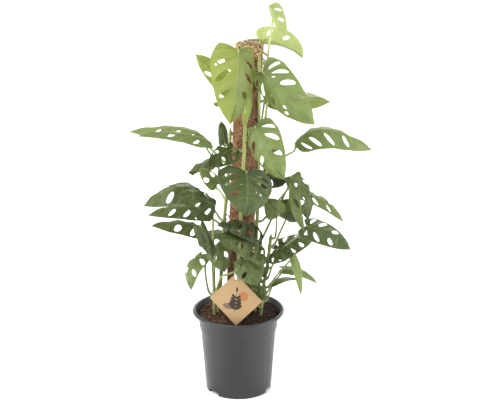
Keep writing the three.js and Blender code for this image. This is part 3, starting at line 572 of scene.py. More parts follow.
def stemMaterial():
    material = newMaterial("stemGreen")
    streak = noiseAt(objectPlace((1, 1, 0.12)), 300, 2)
    patch = noiseAt(objectPlace(), 45, 3)
    share = timesPlus(streak, 0.5, timesPlus(patch, 0.7, -0.2))
    colour = mixColour(share, stemLook["light"], stemLook["dark"])
    height = axisOf(objectPlace(), "Z")
    # darker low down, and on the petioles of the dark leaves
    low = calc("MAXIMUM", times(fade(height, *stemLook["lowFade"]), stemLook["lowShare"]),
               times(attribute("leafTone"), stemLook["toneShare"]))
    colour = mixColour(low, colour, stemLook["low"])
    foot = fade(height, *stemLook["footFade"])
    colour = mixColour(times(foot, stemLook["footShare"]), colour, stemLook["foot"])
    output(principled(colour, stemLook["roughness"], bump(streak, 0.0004, 0.5), stemLook["gloss"]))
    return material


# The flat blade: along the outline from the petiole to the tip, x runs along the rib and y across
blade = {
    "usualLobes": 2.4, "fullness": 0.8, "tipCut": (0.95, 18),
    "firstVein": 0.13, "lastVein": 0.84, "veinCrowding": 0.85, "veinSlant": 0.24, "veinBow": 0.03,
    "veinGap": 0.04,
    # cells for each stretch and from the rib to the edge
    "columns": 8, "rows": 12, "smoothing": 3, "ribSteps": 60,
    # a hole's row of cells, the half size of the block taken out, and the ranges its size and slant vary in
    "holeRow": 7, "holeBlock": (0.24, 4), "holeWidths": (0.88, 1.12), "holeLengths": (0.9, 1.03),
    "holeSlants": 0.06, "holeLength": 0.36, "holeWidth": 0.22, "holeTaper": 0.25, "holeNarrowing": 0.4,
    "holeFlare": 0.25, "slitFrom": 72, "slits": 0.3, "slitRow": 3, "slitBlock": (0.12, 1.2),
    "slitLength": 0.09, "slitWidth": 0.07,
    "usualShade": (0.1, 0.6), "fullWidth": 90,
    "thickness": 0.55, "gutter": 1.0, "gutterWidth": 0.07, "pleats": 6, "waves": 4.3,
    # scale along, across and between leaves, then the strength of the coarse part and of the fine one
    "crumpleFlow": (1.15, 1.6, 3), "coarse": 1.5, "fine": 0.6, "fineScale": 2.7,
    # heights of the swell between veins, the fine pleats, the waves of the edge and the crumples
    "swell": {"young": 1.6, "bright": 2.5, "mature": 2.9, "deep": 3.4},
    "pleat": {"young": 0.2, "bright": 0.34, "mature": 0.45, "deep": 1.25},
    "wave": {"young": 1.3, "bright": 1.5, "mature": 1.3, "deep": 3.0},
    "crumple": {"young": 1.1, "bright": 1.4, "mature": 1.5, "deep": 3.7},
}

petiole = {
    "radius": 2.0, "footRadius": 2.9, "neckRadius": 2.4, "ribRadius": 1.4, "tipRadius": 0.3,
    "sheathShare": 0.35, "neckPlace": 0.93, "neckLength": 0.05, "ribSteps": 16, "ribEnd": 0.97,
    # leaves of fullWidth have the radii above, and small ones thinner petioles
    "least": 0.78, "fullWidth": 80, "widest": 1.1,
    "gap": 4, "sides": 8, "stemOffset": 1.0, "pathSteps": 10,
    # the way it leaves the stem and comes to the blade
    "inStem": 2, "leaveOut": 5, "leaveUp": 1.5, "bendOut": 0.12, "bendUp": 0.2, "bendPlaces": (0.33, 0.6),
    "arrive": (0.8, 0.5), "lastRun": 22, "lastShare": 0.3, "lastPlace": 0.35, "underBlade": 0.5,
    "shade": {"young": 0.0, "bright": 0.1, "mature": 0.35, "deep": 0.8},
}


def outline(along, lobes):
    x = along - lobes * along * (1 - along) ** 2
    cut, sharpness = blade["tipCut"]
    y = max(math.sin(math.pi * along), 0) ** blade["fullness"] * (1 - cut * along ** sharpness)
    return Vector((x, y if along < 1 else 0))


# Vein k from the rib to the edge. Vein 0 is the edge beside the petiole, and the last one is the tip.
def veinEnds(count, k, lobes):
    if k > count:
        return 1.0, 1.0, Vector((1, 0))
    share = (k / count) ** blade["veinCrowding"]
    along = blade["firstVein"] + (blade["lastVein"] - blade["firstVein"]) * share
    end = outline(along, lobes)
    start = max(end.x - blade["veinSlant"] * end.y, blade["veinGap"] * k) if k else 0.0
    return along, start, end


def veinPoint(count, k, lobes, b):
    if k == 0:
        return outline(blade["firstVein"] * b, lobes)
    along, start, end = veinEnds(count, k, lobes)
    bow = blade["veinBow"] * 4 * b * (1 - b) if k <= count else 0
    return Vector((start + (end.x - start) * b - bow, end.y * b))


# a runs from vein k to the next, b from the rib to the edge
def panelPoint(count, k, lobes, a, b):
    along, start, end = veinEnds(count, k, lobes)
    nextAlong, nextStart, nextEnd = veinEnds(count, k + 1, lobes)
    bulge = outline(along + (nextAlong - along) * a, lobes) - end.lerp(nextEnd, a)
    return veinPoint(count, k, lobes, b).lerp(veinPoint(count, k + 1, lobes, b), a) + bulge * b * b


# The blade's form in space: gives the place of a flat point, and the way its upper side looks
def bladeForm(leaf):
    base, tip, face = (Vector(leaf[key]) for key in ("base", "tip", "face"))
    chord = tip - base
    rise = (face - chord * (face.dot(chord) / chord.length_squared)).normalized()
    control = base.lerp(tip, leaf.get("peak", 0.5)) + rise * (2 * leaf["arch"] * chord.length)
    steps = blade["ribSteps"]
    rib = [base * (1 - t) ** 2 + control * (2 * t * (1 - t)) + tip * t * t
           for t in (i / steps for i in range(steps + 1))]
    lengths = distances(rib)
    length = lengths[-1]
    half = leaf["width"] / 2
    fold = math.radians(leaf["fold"])
    bend = max(math.radians(leaf["curl"]), 0.01) / half

    def place(x, y):
        s = min(max(x, 0), 1)
        k = max(next((i for i, reach in enumerate(lengths) if reach >= s * length), steps), 1)
        part = (s * length - lengths[k - 1]) / (lengths[k] - lengths[k - 1])
        t = (k - 1 + part) / steps
        along = ((control - base) * (1 - t) + (tip - control) * t).normalized()
        normal = (rise - along * rise.dot(along)).normalized()
        across = along.cross(normal) * (1 if y >= 0 else -1)
        turn = fold + bend * (abs(y) * half)
        reach = (math.sin(turn) - math.sin(fold)) / bend
        drop = (math.cos(fold) - math.cos(turn)) / bend
        spot = rib[k - 1].lerp(rib[k], part) + along * ((x - s) * length) + across * reach - normal * drop
        return spot, normal * math.cos(turn) + across * math.sin(turn)

    return place, rise


# Cuts an oval hole in the flat grid. reach is the half size of the block of cells that it takes out.
def cutHole(bm, centre, reach, width, length, slant):
    holeFaces = []
    for face in bm.faces:
        away = face.calc_center_median() - centre
        if abs(away.x) < reach[0] and abs(away.y) < reach[1]:
            holeFaces.append(face)
    rim = {corner for face in holeFaces for corner in face.verts}
    bmesh.ops.delete(bm, geom=holeFaces, context="FACES")
    for corner in [corner for corner in rim if corner.is_valid]:
        away = corner.co - centre
        away = Vector((away.x / width, away.y / length, 0)).normalized()
        # a little wider towards the leaf's edge
        wide = width * (1 + blade["holeFlare"] * away.y * (1 if centre.y > 0 else -1))
        corner.co = centre + Vector((away.x * wide + slant * away.y, away.y * length, 0))


def cutHoles(bm, leaf, chance):
    count, rows, size = leaf["panels"], blade["rows"], leaf.get("holeSize", 1)
    (holeBlock, holeRows), (slitBlock, slitRows) = blade["holeBlock"], blade["slitBlock"]
    for side in (-1, 1):
        for k in range(leaf.get("holesFrom", 1), count):
            width = size * blade["holeWidth"] * (1 - blade["holeNarrowing"] * k / count)
            width *= chance.uniform(*blade["holeWidths"])
            length = size * blade["holeLength"] * (1 - blade["holeTaper"] * k / count)
            length *= chance.uniform(*blade["holeLengths"])
            cutHole(bm, Vector((k + 0.5, side * blade["holeRow"] / rows, 0)), (holeBlock, holeRows / rows),
                    width, length, chance.uniform(-blade["holeSlants"], blade["holeSlants"]))
            # small slits near the rib of the large leaves
            if leaf["width"] > blade["slitFrom"] and chance.random() < leaf.get("slits", blade["slits"]):
                cutHole(bm, Vector((k, side * blade["slitRow"] / rows, 0)), (slitBlock, slitRows / rows),
                        blade["slitWidth"], blade["slitLength"], 0)


# How far a point of the sheet stands off the plain form: swell, pleats, rib gutter, waves and crumples
def bladeLift(leaf, count, u, side, phase):
    tone = leaf["tone"]
    swell, pleat, wave, crumple = (blade[part][tone] for part in ("swell", "pleat", "wave", "crumple"))
    b = abs(side)
    k = min(int(u + 1e-6), count)
    a = u - k
    # the crumples die away at the rib, the edge and the tip
    fadeOut = min(1, b / 0.12) * min(1, (count + 1 - u) / 0.5 + 0.1) * (1 - 0.75 * b ** 4)
    arc = math.sin(math.pi * a)
    hump = 0.5 * arc + 0.5 * arc * arc + 0.3 * math.sin(fullTurn * a)
    lift = swell * hump * math.sin(math.pi * min(b, 0.92))
    lift += pleat * math.sin(blade["pleats"] * math.pi * a) * b
    lift -= blade["gutter"] * math.exp(-(b / blade["gutterWidth"]) ** 2)
    lift += wave * math.sin(u * blade["waves"] + phase + side) * b ** 3 * (1 - k / (count + 1))
    along, across, between = blade["crumpleFlow"]
    flow = Vector((u * along, side * across, phase * between))
    lift += crumple * fadeOut * (noise.noise(flow) * blade["coarse"]
                                 + noise.noise(flow * blade["fineScale"]) * blade["fine"])
    return lift


def bladeSheet(leaf, place, chance):
    count, lobes = leaf["panels"], leaf.get("lobes", blade["usualLobes"])
    bm = bmesh.new()
    cells = blade["columns"] * (count + 1), 2 * blade["rows"]
    bmesh.ops.create_grid(bm, x_segments=cells[0], y_segments=cells[1], size=0.5)
    for corner in bm.verts:
        corner.co = ((corner.co.x + 0.5) * (count + 1), corner.co.y * 2, 0)
    cutHoles(bm, leaf, chance)
    # even out the cells, but not on the veins and edges
    loose = [corner for corner in bm.verts if not corner.is_boundary and abs(corner.co.y) >= 1e-4
             and abs(corner.co.x - round(corner.co.x)) >= 1e-4]
    for _ in range(blade["smoothing"]):
        bmesh.ops.smooth_vert(bm, verts=loose, factor=0.5, use_axis_x=True, use_axis_y=True, use_axis_z=False)
    # keep the flat place as the leaf's map, then bend the sheet
    leafMap = bm.loops.layers.uv.new("leafMap")
    for face in bm.faces:
        for loop in face.loops:
            loop[leafMap].uv = loop.vert.co.xy
    scale = leaf["width"] / blade["fullWidth"]
    phase = chance.uniform(0, 6)
    shade = leaf.get("shade", chance.uniform(*blade["usualShade"]))
    # a pair paints light and shade, one value for each half: darker where a half turns away from the light
    shades = shade if isinstance(shade, tuple) else (shade, shade)
    leafTone = bm.verts.layers.float.new("leafTone")
    for corner in bm.verts:
        u, side = corner.co.x, corner.co.y
        k = min(int(u + 1e-6), count)
        corner[leafTone] = shades[0] + (shades[1] - shades[0]) * min(max(0.5 + side * 5, 0), 1)
        x, y = panelPoint(count, k, lobes, u - k, abs(side))
        spot, normal = place(x, y if side >= 0 else -y)
        corner.co = spot + normal * (bladeLift(leaf, count, u, side, phase) * scale)
    bmesh.ops.remove_doubles(bm, verts=bm.verts, dist=0.02)
    bm.normal_update()
    spot, normal = place(0.5, 0.1)
    middle = min(bm.faces, key=lambda face: (face.calc_center_median() - spot).length)
    if middle.normal.dot(normal) < 0:
        bmesh.ops.reverse_faces(bm, faces=bm.faces)
    return bm


def petiolePath(leaf, place, rise):
    stem = stemSpot(leaf["stem"], leaf["node"])
    via = [Vector(spot) for spot in leaf.get("via", ())]
    up = Vector((0, 0, 1))
    if "bearing" in leaf:
        bearing = math.radians(leaf["bearing"])
        out = Vector((math.cos(bearing), math.sin(bearing), 0))
    else:
        out = (via[0] if via else Vector(leaf["base"])) - stem
        out.z = 0
        out.normalize()
    end, normal = place(0, 0)
    end = end - normal * petiole["underBlade"]
    root = stem + out * (stems["radius"] + petiole["stemOffset"])
    reach = (end - root).length
    arrive = (rise * petiole["arrive"][0] + up * petiole["arrive"][1]).normalized()
    start = root + out * petiole["leaveOut"] + up * petiole["leaveUp"]
    before = end - arrive * min(petiole["lastRun"], reach * petiole["lastShare"])
    points = [stem - up * petiole["inStem"], root, start, *via]
    if not via:
        first = start + out * (reach * petiole["bendOut"]) + up * (reach * petiole["bendUp"])
        for t in petiole["bendPlaces"]:
            points.append(start * (1 - t) ** 3 + first * (3 * t * (1 - t) ** 2)
                          + before * (3 * t * t * (1 - t)) + end * t ** 3)
    points.append(before.lerp(end, petiole["lastPlace"]))
    return evenPath(smoothPath(points + [end], petiole["pathSteps"]), petiole["gap"])


def makeLeaf(leaf, greens):
    chance = random.Random(int(leaf["name"]))
    place, rise = bladeForm(leaf)
    bm = applied(bladeSheet(leaf, place, chance),
                 ("SUBSURF", {"levels": 1, "render_levels": 1}),
                 ("SOLIDIFY", {"thickness": blade["thickness"], "offset": 0, "material_offset": 1,
                               "material_offset_rim": 0, "use_even_offset": False}))
    # petiole and rib in one tube
    path = petiolePath(leaf, place, rise)
    radii = []
    for i in range(len(path)):
        part = i / (len(path) - 1)
        sheath = (petiole["footRadius"] - petiole["radius"]) * max(0, 1 - part / petiole["sheathShare"])
        fromNeck = (part - petiole["neckPlace"]) / petiole["neckLength"]
        neck = (petiole["neckRadius"] - petiole["radius"]) * math.exp(-fromNeck ** 2)
        radii.append(petiole["radius"] + sheath + neck)
    share = min(leaf["width"] / petiole["fullWidth"], petiole["widest"])
    size = petiole["least"] + (1 - petiole["least"]) * share
    leafEnd = path[-1].copy()
    for i in range(1, petiole["ribSteps"] + 1):
        x = petiole["ribEnd"] * i / petiole["ribSteps"]
        spot, normal = place(x, 0)
        radius = petiole["ribRadius"] + (petiole["tipRadius"] - petiole["ribRadius"]) * x
        gutter = blade["gutter"] * leaf["width"] / blade["fullWidth"]
        path.append(spot - normal * (gutter + radius * size * 0.9))
        radii.append(radius)
    look = leaf["tone"]
    leafTone = bm.verts.layers.float["leafTone"]
    for face in tube(bm, path, [radius * size for radius in radii], petiole["sides"], 2):
        for corner in face.verts:
            corner[leafTone] = petiole["shade"][look]
        # the rib shows the underside's green
        if all((corner.co - path[-1]).length < (leafEnd - path[-1]).length for corner in face.verts):
            face.material_index = 1
    smoothShade(bm, 55)
    addPiece(bm, "vineLeaf_" + leaf["name"], [greens[look], greens[look + "Under"], greens["stem"]],
             "leaf_" + look, "leaf_" + leaf["name"])


# Stems, with rings at their nodes
stems = {
    "radius": 3.2, "gap": 3, "sides": 12, "pathSteps": 30,
    "nodeSwell": 0.75, "nodeLength": 2.6, "firstRing": 165, "ringGap": 33, "ringClear": 12,
    # the stem thins by so much between these heights, and its last rings narrow to a blunt bud
    "thins": 0.25, "thinFrom": 150, "thinOver": 450, "budRings": 4, "bud": (0.35, 0.16),
    # height, bearing round the pole in degrees, distance off the coir
    "climbing": {
        "right": [(70, 4, 5), (146, 3, 4), (250, 0, 1.4), (350, -8, 1.4), (450, -22, 1.4), (550, -38, 1.4),
                  (642, -50, 1.4)],
        "left": [(70, 184, 12), (146, 184, 11), (250, 182, 8), (340, 182, 6), (420, 180, 2), (506, 178, 1.4)],
        "front": [(70, -100, 10), (146, -100, 9), (215, -98, 8.5), (290, -96, 7), (350, -95, 1.6),
                  (450, -94, 1.4), (600, -92, 1.4)],
        "back": [(70, 90, 5), (146, 88, 4), (300, 85, 1.4), (450, 95, 1.4), (612, 100, 1.4)],
    },
    # free-standing: x, y, z
    "standing": {
        "lowerRight": [(40, -18, 70), (41, -16, 146), (46, -12, 200), (54, -7, 250), (60, -3, 305)],
        "lowerLeft": [(-44, -14, 70), (-44, -14, 146), (-45, -12, 220), (-47, -10, 302)],
    },
}

# Short roots that hold on to the coir
roots = {
    "perNode": 2, "radius": 0.95, "tip": 0.35, "sides": 6, "pathSteps": 4,
    "from": 180, "belowTop": 20, "gap": 41,
    "start": (-4, 2), "swing": (22, 60), "drop": (-16, 14), "offCoir": 1.5,
    "colour": (0.20, 0.115, 0.055), "dark": (0.085, 0.045, 0.022),
}


def poleAxis(height):
    return Vector((pole["footX"] + pole["lean"] * height, 0, height))


def poleSpot(height, bearing, reach):
    angle = math.radians(bearing)
    return poleAxis(height) + Vector((math.cos(angle), math.sin(angle), 0)) * reach


def makeStemPaths():
    paths = {}
    for name, knots in stems["climbing"].items():
        paths[name] = smoothPath([poleSpot(height, bearing, pole["radius"] + off + stems["radius"])
                                  for height, bearing, off in knots], stems["pathSteps"])
    for name, knots in stems["standing"].items():
        paths[name] = smoothPath(knots, stems["pathSteps"])
    return paths


def stemSpot(name, height):
    path = stemPaths[name]
    for one, two in zip(path, path[1:]):
        if two.z >= height:
            return one.lerp(two, (height - one.z) / (two.z - one.z))
    return path[-1]


def nodesOn(name):
    return [leaf["node"] for leaf in leaves if leaf["stem"] == name]


def makeStem(name, material):
    path = evenPath(stemPaths[name], stems["gap"])
    nodes = nodesOn(name)
    rings = nodes + [height for height in range(stems["firstRing"], int(path[-1].z), stems["ringGap"])
                     if all(abs(height - node) > stems["ringClear"] for node in nodes)]
    radii = []
    for spot in path:
        near = min(abs(spot.z - ring) for ring in rings)
        swell = stems["nodeSwell"] * math.exp(-(near / stems["nodeLength"]) ** 2)
        thin = stems["thins"] * (spot.z - stems["thinFrom"]) / stems["thinOver"]
        radii.append(stems["radius"] - thin + swell)
    for i in range(1, stems["budRings"] + 1):
        radii[-i] *= stems["bud"][0] + stems["bud"][1] * i
    bm = bmesh.new()
    tube(bm, path, radii, stems["sides"])
    addPiece(bm, "vineStem_" + name, [material], "stem", "stem_" + name)


def rootMaterial():
    material = newMaterial("rootBrown")
    grain = noiseAt(objectPlace(), 300, 3)
    output(principled(mixColour(grain, roots["dark"], roots["colour"]), 0.75, bump(grain, 0.0005, 0.6)))
    return material


def makeRoots(material):
    chance = random.Random(5)
    bm = bmesh.new()
    for name in stems["climbing"]:
        top = int(stemPaths[name][-1].z) - roots["belowTop"]
        heights = nodesOn(name) + list(range(roots["from"], top, roots["gap"]))
        for height in [height for height in heights for _ in range(roots["perNode"])]:
            start = stemSpot(name, height + chance.uniform(*roots["start"]))
            axis = poleAxis(start.z)
            bearing = math.degrees(math.atan2(start.y - axis.y, start.x - axis.x))
            side = chance.choice((-1, 1))
            swing = side * chance.uniform(*roots["swing"])
            drop = chance.uniform(*roots["drop"])
            reach = pole["radius"] + roots["offCoir"]
            gap = (start - axis).length - reach
            # shares of the drop and the swing, and the distance from the pole's axis
            knots = ((0.1, 0.25, reach + gap * 0.45), (0.45, 0.62, reach + 0.8), (1, 1, reach - 1.6))
            path = smoothPath([start] + [poleSpot(start.z + drop * down, bearing + swing * turn, away)
                                         for down, turn, away in knots], roots["pathSteps"])
            count = len(path) - 1
            tube(bm, path, [roots["radius"] + (roots["tip"] - roots["radius"]) * i / count
                            for i in range(count + 1)], roots["sides"])
    addPiece(bm, "holdingRoots", [material], "stem")


# Coir pole: a stuffed sleeve of coarse fibres round a wooden stake
pole = {
    "footX": -6, "lean": 0.04, "radius": 23, "top": 655, "bottom": 60,
    "coreRadius": 21.6, "rings": 150, "steps": 64,
    # lumps: size and share of the height, and the most that they stand out
    "lump": 1.0, "lumps": ((6, 1.0), (2, 0.6)), "lumpMost": 0.8,
}

# Loose fibres. The pairs are ranges.
fibre = {
    "pieces": 3, "count": 2300, "points": 6, "thickness": 0.34, "from": 145, "belowTop": 2,
    "endThickness": 0.45,  # as a share
    "slope": 0.9, "length": (14, 46), "lift": (-0.5, 0.9), "curl": (-28, 28), "wobble": 0.25, "offCore": 0.6,
    "wild": 0.2, "wildFrom": 0.55, "wildReach": 1.9,
}

# Curly shavings round the end of the sleeve
frizz = {
    "count": 400, "from": 600, "thickness": 0.72, "points": 9, "crowding": 1.4, "overTop": 5,
    "length": (11, 28), "curl": (1.8, 4.6), "turns": (3, 6.5), "wobble": 0.4, "offCore": 0.8,
}

# The cut top of the sleeve
tuft = {
    "count": 170, "thickness": 0.425, "spread": 0.95, "underTop": 8, "places": (0, 0.3, 0.6, 0.85, 1),
    "lean": (-16, 16), "height": (5, 12), "side": (-35, 35),
}

coirLook = {
    "core": (0.075, 0.036, 0.018), "coreDark": (0.018, 0.009, 0.005), "top": (0.60, 0.47, 0.22),
    "fibreDark": (0.17, 0.080, 0.036), "fibre": (0.36, 0.185, 0.085), "fibreLight": (0.60, 0.38, 0.21),
    "bleached": (0.60, 0.65), "darkBelow": (0.23, 0.36), "darkBelowShare": 0.62,  # heights in metres
}

stakeLook = {"light": (0.46, 0.30, 0.16), "dark": (0.30, 0.18, 0.09), "stretch": (1, 1, 0.04), "rings": 300.0}


def coreMaterial():
    material = newMaterial("coirCore")
    strand = noiseAt(objectPlace((1, 1, 0.35)), 700, 4)
    clump = noiseAt(objectPlace(), 90, 3)
    share = clamped(timesPlus(strand, 1.4, timesPlus(clump, 0.9, -0.75)))
    colour = mixColour(share, coirLook["coreDark"], coirLook["core"])
    output(principled(colour, 0.95, bump(strand, 0.002)))
    return material


def fibreMaterial():
    material = newMaterial("coirFibre")
    patch = noiseAt(objectPlace(), 60, 3)
    share = clamped(timesPlus(patch, 0.9, plus(attribute("fibreTone"), -0.45)))
    ramp = put("ValToRGB", {0: share})
    ramp.color_ramp.elements[0].color = (*coirLook["fibreDark"], 1)
    ramp.color_ramp.elements[1].color = (*coirLook["fibreLight"], 1)
    ramp.color_ramp.elements.new(0.5).color = (*coirLook["fibre"], 1)
    # the cut end is bleached
    height = axisOf(objectPlace(), "Z")
    bleached = times(calc("SUBTRACT", 1.0, fade(height, *coirLook["bleached"])),
                     clamped(timesPlus(share, 1.5, -0.15)))
    colour = mixColour(bleached, ramp.outputs[0], coirLook["top"])
    # darker towards the bottom, near the soil
    darkBelow = times(fade(height, *coirLook["darkBelow"]), coirLook["darkBelowShare"])
    colour = mixColour(darkBelow, colour, coirLook["coreDark"])
    grain = noiseAt(objectPlace(), 1500, 2)
    output(principled(colour, 0.72, bump(grain, 0.0002, 0.4), 0.3))
    return material


def woodMaterial():
    material = newMaterial("stakeWood")
    rings = put("TexWave", {"Vector": objectPlace(stakeLook["stretch"]), "Scale": stakeLook["rings"],
                            "Distortion": 6.0, "Detail": 3.0, "Detail Scale": 2.0}).outputs["Fac"]
    colour = mixColour(rings, stakeLook["light"], stakeLook["dark"])
    output(principled(colour, 0.75, bump(rings, 0.0004, 0.5)))
    return material


def makeCore(material):
    bm = bmesh.new()
    radius, low, high = pole["coreRadius"], pole["bottom"], pole["top"] - 1.5
    profile = [(radius, low + (high - low) * i / pole["rings"]) for i in range(pole["rings"] + 1)]
    turned(bm, [(0, low)] + profile + [(radius * 0.6, high + 1), (0, high + 0.6)], pole["steps"])
    for corner in bm.verts:
        away = Vector((corner.co.x, corner.co.y, 0))
        if away.length > radius * 0.5:
            lump = sum(noise.noise(corner.co / size) * pole["lump"] * share for size, share in pole["lumps"])
            corner.co += away.normalized() * min(lump, pole["lumpMost"])
        corner.co.x += poleAxis(corner.co.z).x
    smoothShade(bm, 60)
    addPiece(bm, "coirCore", [material], "coir", "coir_sleeve")


# Fibres are thin curves, made into a mesh that keeps one tone for each fibre
def fibrePiece(name, strands, thickness, material, chance):
    curve = bpy.data.curves.new(name, "CURVE")
    curve.dimensions = "3D"
    curve.bevel_depth = thickness * metre
    curve.bevel_resolution = 0
    curve.use_fill_caps = False
    for points in strands:
        strand = curve.splines.new("POLY")
        strand.points.add(len(points) - 1)
        for i, (spot, spotPoint) in enumerate(zip(points, strand.points)):
            spotPoint.co = (*(spot * metre), 1)
            spotPoint.radius = fibre["endThickness"] if i in (0, len(points) - 1) else 1
    mesh = meshOfCurve(curve)
    mesh.name = name
    mesh.materials.clear()
    tones = []
    for _ in strands:
        tones += [chance.random()] * (len(mesh.vertices) // len(strands))
    mesh.attributes.new("fibreTone", "FLOAT", "POINT").data.foreach_set("value", tones)
    for face in mesh.polygons:
        face.use_smooth = True
    placePiece(mesh, name, [material], "coir")


# A point of a strand that lies on the sleeve: up and round it, and out from the core
def strandSpot(height, bearing, around, out):
    return poleSpot(height, bearing + math.degrees(around / pole["radius"]), pole["coreRadius"] + out)


def makeFibres(material, chance):
    low, high = fibre["from"], pole["top"] - fibre["belowTop"]
    for part in range(fibre["pieces"]):
        strands = []
        for _ in range(fibre["count"]):
            height, bearing = chance.uniform(low, high), chance.uniform(0, 360)
            slope = chance.gauss(0, fibre["slope"])
            length = chance.uniform(*fibre["length"])
            lift = chance.uniform(*fibre["lift"])
            wild = chance.random() < fibre["wild"]
            curl = math.radians(chance.uniform(*fibre["curl"]))
            points = []
            for i in range(fibre["points"]):
                t = i / (fibre["points"] - 1)
                way = slope + curl * (t - 0.5) * 2
                up = math.cos(way) * length * (t - 0.5)
                around = math.sin(way) * length * (t - 0.5)
                out = lift + chance.uniform(-fibre["wobble"], fibre["wobble"])
                if wild:
                    out += fibre["wildReach"] * max(t - fibre["wildFrom"], 0) * 2
                points.append(strandSpot(min(max(height + up, low), high), bearing, around,
                                         fibre["offCore"] + out))
            strands.append(points)
        fibrePiece("coirFibres_%d" % (part + 1), strands, fibre["thickness"], material, chance)


def makeFrizz(material, chance):
    strands = []
    for _ in range(frizz["count"]):
        height = pole["top"] - (pole["top"] - frizz["from"]) * chance.random() ** frizz["crowding"]
        bearing, length = chance.uniform(0, 360), chance.uniform(*frizz["length"])
        way, curl = chance.uniform(0, 6.3), chance.uniform(*frizz["curl"])
        turns, phase = chance.uniform(*frizz["turns"]), chance.uniform(0, 6.3)
        points = []
        for i in range(frizz["points"]):
            t = i / (frizz["points"] - 1)
            spin = phase + turns * t
            up = math.cos(way) * length * (t - 0.5) + math.cos(spin) * curl
            around = math.sin(way) * length * (t - 0.5) + math.sin(spin) * curl
            out = 1.2 + 1.6 * math.sin(spin * 0.7) + chance.uniform(-frizz["wobble"], frizz["wobble"])
            points.append(strandSpot(min(height + up, pole["top"] + frizz["overTop"]), bearing, around,
                                     frizz["offCore"] + max(out, -0.4)))
        strands.append(points)
    fibrePiece("coirFrizz", strands, frizz["thickness"], material, chance)


def makeTuft(material, chance):
    strands = []
    for _ in range(tuft["count"]):
        bearing = chance.uniform(0, 360)
        reach = pole["radius"] * math.sqrt(chance.uniform(0.0, tuft["spread"]))
        lean, height, side = (chance.uniform(*tuft[part]) for part in ("lean", "height", "side"))
        strands.append([poleSpot(pole["top"] - tuft["underTop"] + height * 1.5 * t, bearing + side * t * 0.6,
                                 max(reach + lean * t * t * 0.45, 0.5)) for t in tuft["places"]])
    fibrePiece("coirTuft", strands, tuft["thickness"], material, chance)


# Potting mix
soil = {
    "edgeHeight": 149, "middleHeight": 151.5, "radius": 73.2, "rings": 40, "steps": 90,
    # radius, height of the side, just inside the pot's wall
    "side": [(0, 9.5), (58, 9.5), (66.8, 114), (69.6, 124)],
    # size and height of the top's lumps
    "lumps": ((12, 1.9), (5, 1.3)),
    "dark": (0.020, 0.011, 0.007), "light": (0.120, 0.062, 0.036), "chip": (0.21, 0.12, 0.068),
    "roughness": 0.93, "gloss": 0.3,
    "darkerRight": (-0.045, 0.02), "darkerRightShares": (0.72, 0.28),  # from left to right, in metres
}

# Crumbs of each piece: a few chips first, then the clumps. The pairs are ranges.
crumb = {
    "pieces": 3, "count": 560, "clumps": 95, "chips": 12, "fromWall": 2,
    "size": (0.7, 2.3), "clumpSize": (2.4, 4.3), "chipSize": 1.3,
    "shape": ((0.8, 1.7), (0.6, 1.1), (0.35, 0.8)), "tilt": 0.4, "sunk": (-0.1, 0.35), "rough": (-0.2, 0.2),
    "tone": (0.1, 0.85), "dullChips": 0.5,
}


def soilTop(x, y):
    reach = math.hypot(x, y) / soil["radius"]
    height = soil["middleHeight"] + (soil["edgeHeight"] - soil["middleHeight"]) * reach * reach
    return height + sum(noise.noise(Vector((x, y, 0)) / size) * lump for size, lump in soil["lumps"])


def soilMaterial():
    material = newMaterial("pottingMix")
    place = objectPlace()
    lump = noiseAt(place, 170, 4, 0.65)
    fleck = noiseAt(place, 600, 3, 0.7)
    tone = attribute("crumbTone")
    share = clamped(timesPlus(lump, 1.7, plus(tone, -0.75)))
    # browner on the left, nearly black on the right
    share = times(share, timesPlus(fade(axisOf(place, "X"), *soil["darkerRight"]), *soil["darkerRightShares"]))
    colour = mixColour(share, soil["dark"], soil["light"])
    # the range is turned round, so that only the lightest tone is a chip
    colour = mixColour(fade(tone, 0.97, 0.93), colour, soil["chip"])
    height = plus(lump, times(fleck, 0.6))
    output(principled(colour, soil["roughness"], bump(height, 0.0015, 0.9), soil["gloss"]))
    return material


def makeSoil(material):
    bm = bmesh.new()
    radius, rings, edge = soil["radius"], soil["rings"], soil["edgeHeight"]
    profile = soil["side"] + [(radius, edge - 2)]
    profile += [(radius * (1 - i / rings), edge) for i in range(rings + 1)]
    turned(bm, profile, soil["steps"])
    for corner in bm.verts:
        if corner.co.z > edge - 1:
            corner.co.z = soilTop(corner.co.x, corner.co.y)
    smoothShade(bm, 50)
    addPiece(bm, "pottingMix", [material], "soil", "soil")


def makeCrumbs(material):
    chance = random.Random(3)
    for part in range(crumb["pieces"]):
        bm = bmesh.new()
        tone = bm.verts.layers.float.new("crumbTone")
        for i in range(crumb["count"]):
            reach = (soil["radius"] - crumb["fromWall"]) * math.sqrt(chance.random())
            bearing = chance.uniform(0, fullTurn)
            x, y = reach * math.cos(bearing), reach * math.sin(bearing)
            chip = i < crumb["chips"]
            if crumb["chips"] <= i < crumb["chips"] + crumb["clumps"]:
                size = chance.uniform(*crumb["clumpSize"])
            else:
                size = chance.uniform(*crumb["size"]) * (crumb["chipSize"] if chip else 1)
            shape = Matrix.Diagonal((*(size * chance.uniform(*side) for side in crumb["shape"]), 1))
            spin = Matrix.Rotation(chance.uniform(0, 6.3), 4, "Z")
            spin = spin @ Matrix.Rotation(chance.gauss(0, crumb["tilt"]), 4, "X")
            place = Matrix.Translation((x, y, soilTop(x, y) + size * chance.uniform(*crumb["sunk"])))
            made = bmesh.ops.create_icosphere(bm, subdivisions=1, radius=1, matrix=place @ spin @ shape)
            # some chips keep the lightest tone
            dull = not chip or chance.random() < crumb["dullChips"]
            value = chance.uniform(*crumb["tone"]) if dull else 1.0
            for corner in made["verts"]:
                corner.co += Vector([chance.uniform(*crumb["rough"]) for _ in "xyz"]) * size
                corner[tone] = value
        addPiece(bm, "soilCrumbs_%d" % (part + 1), [material], "soil")


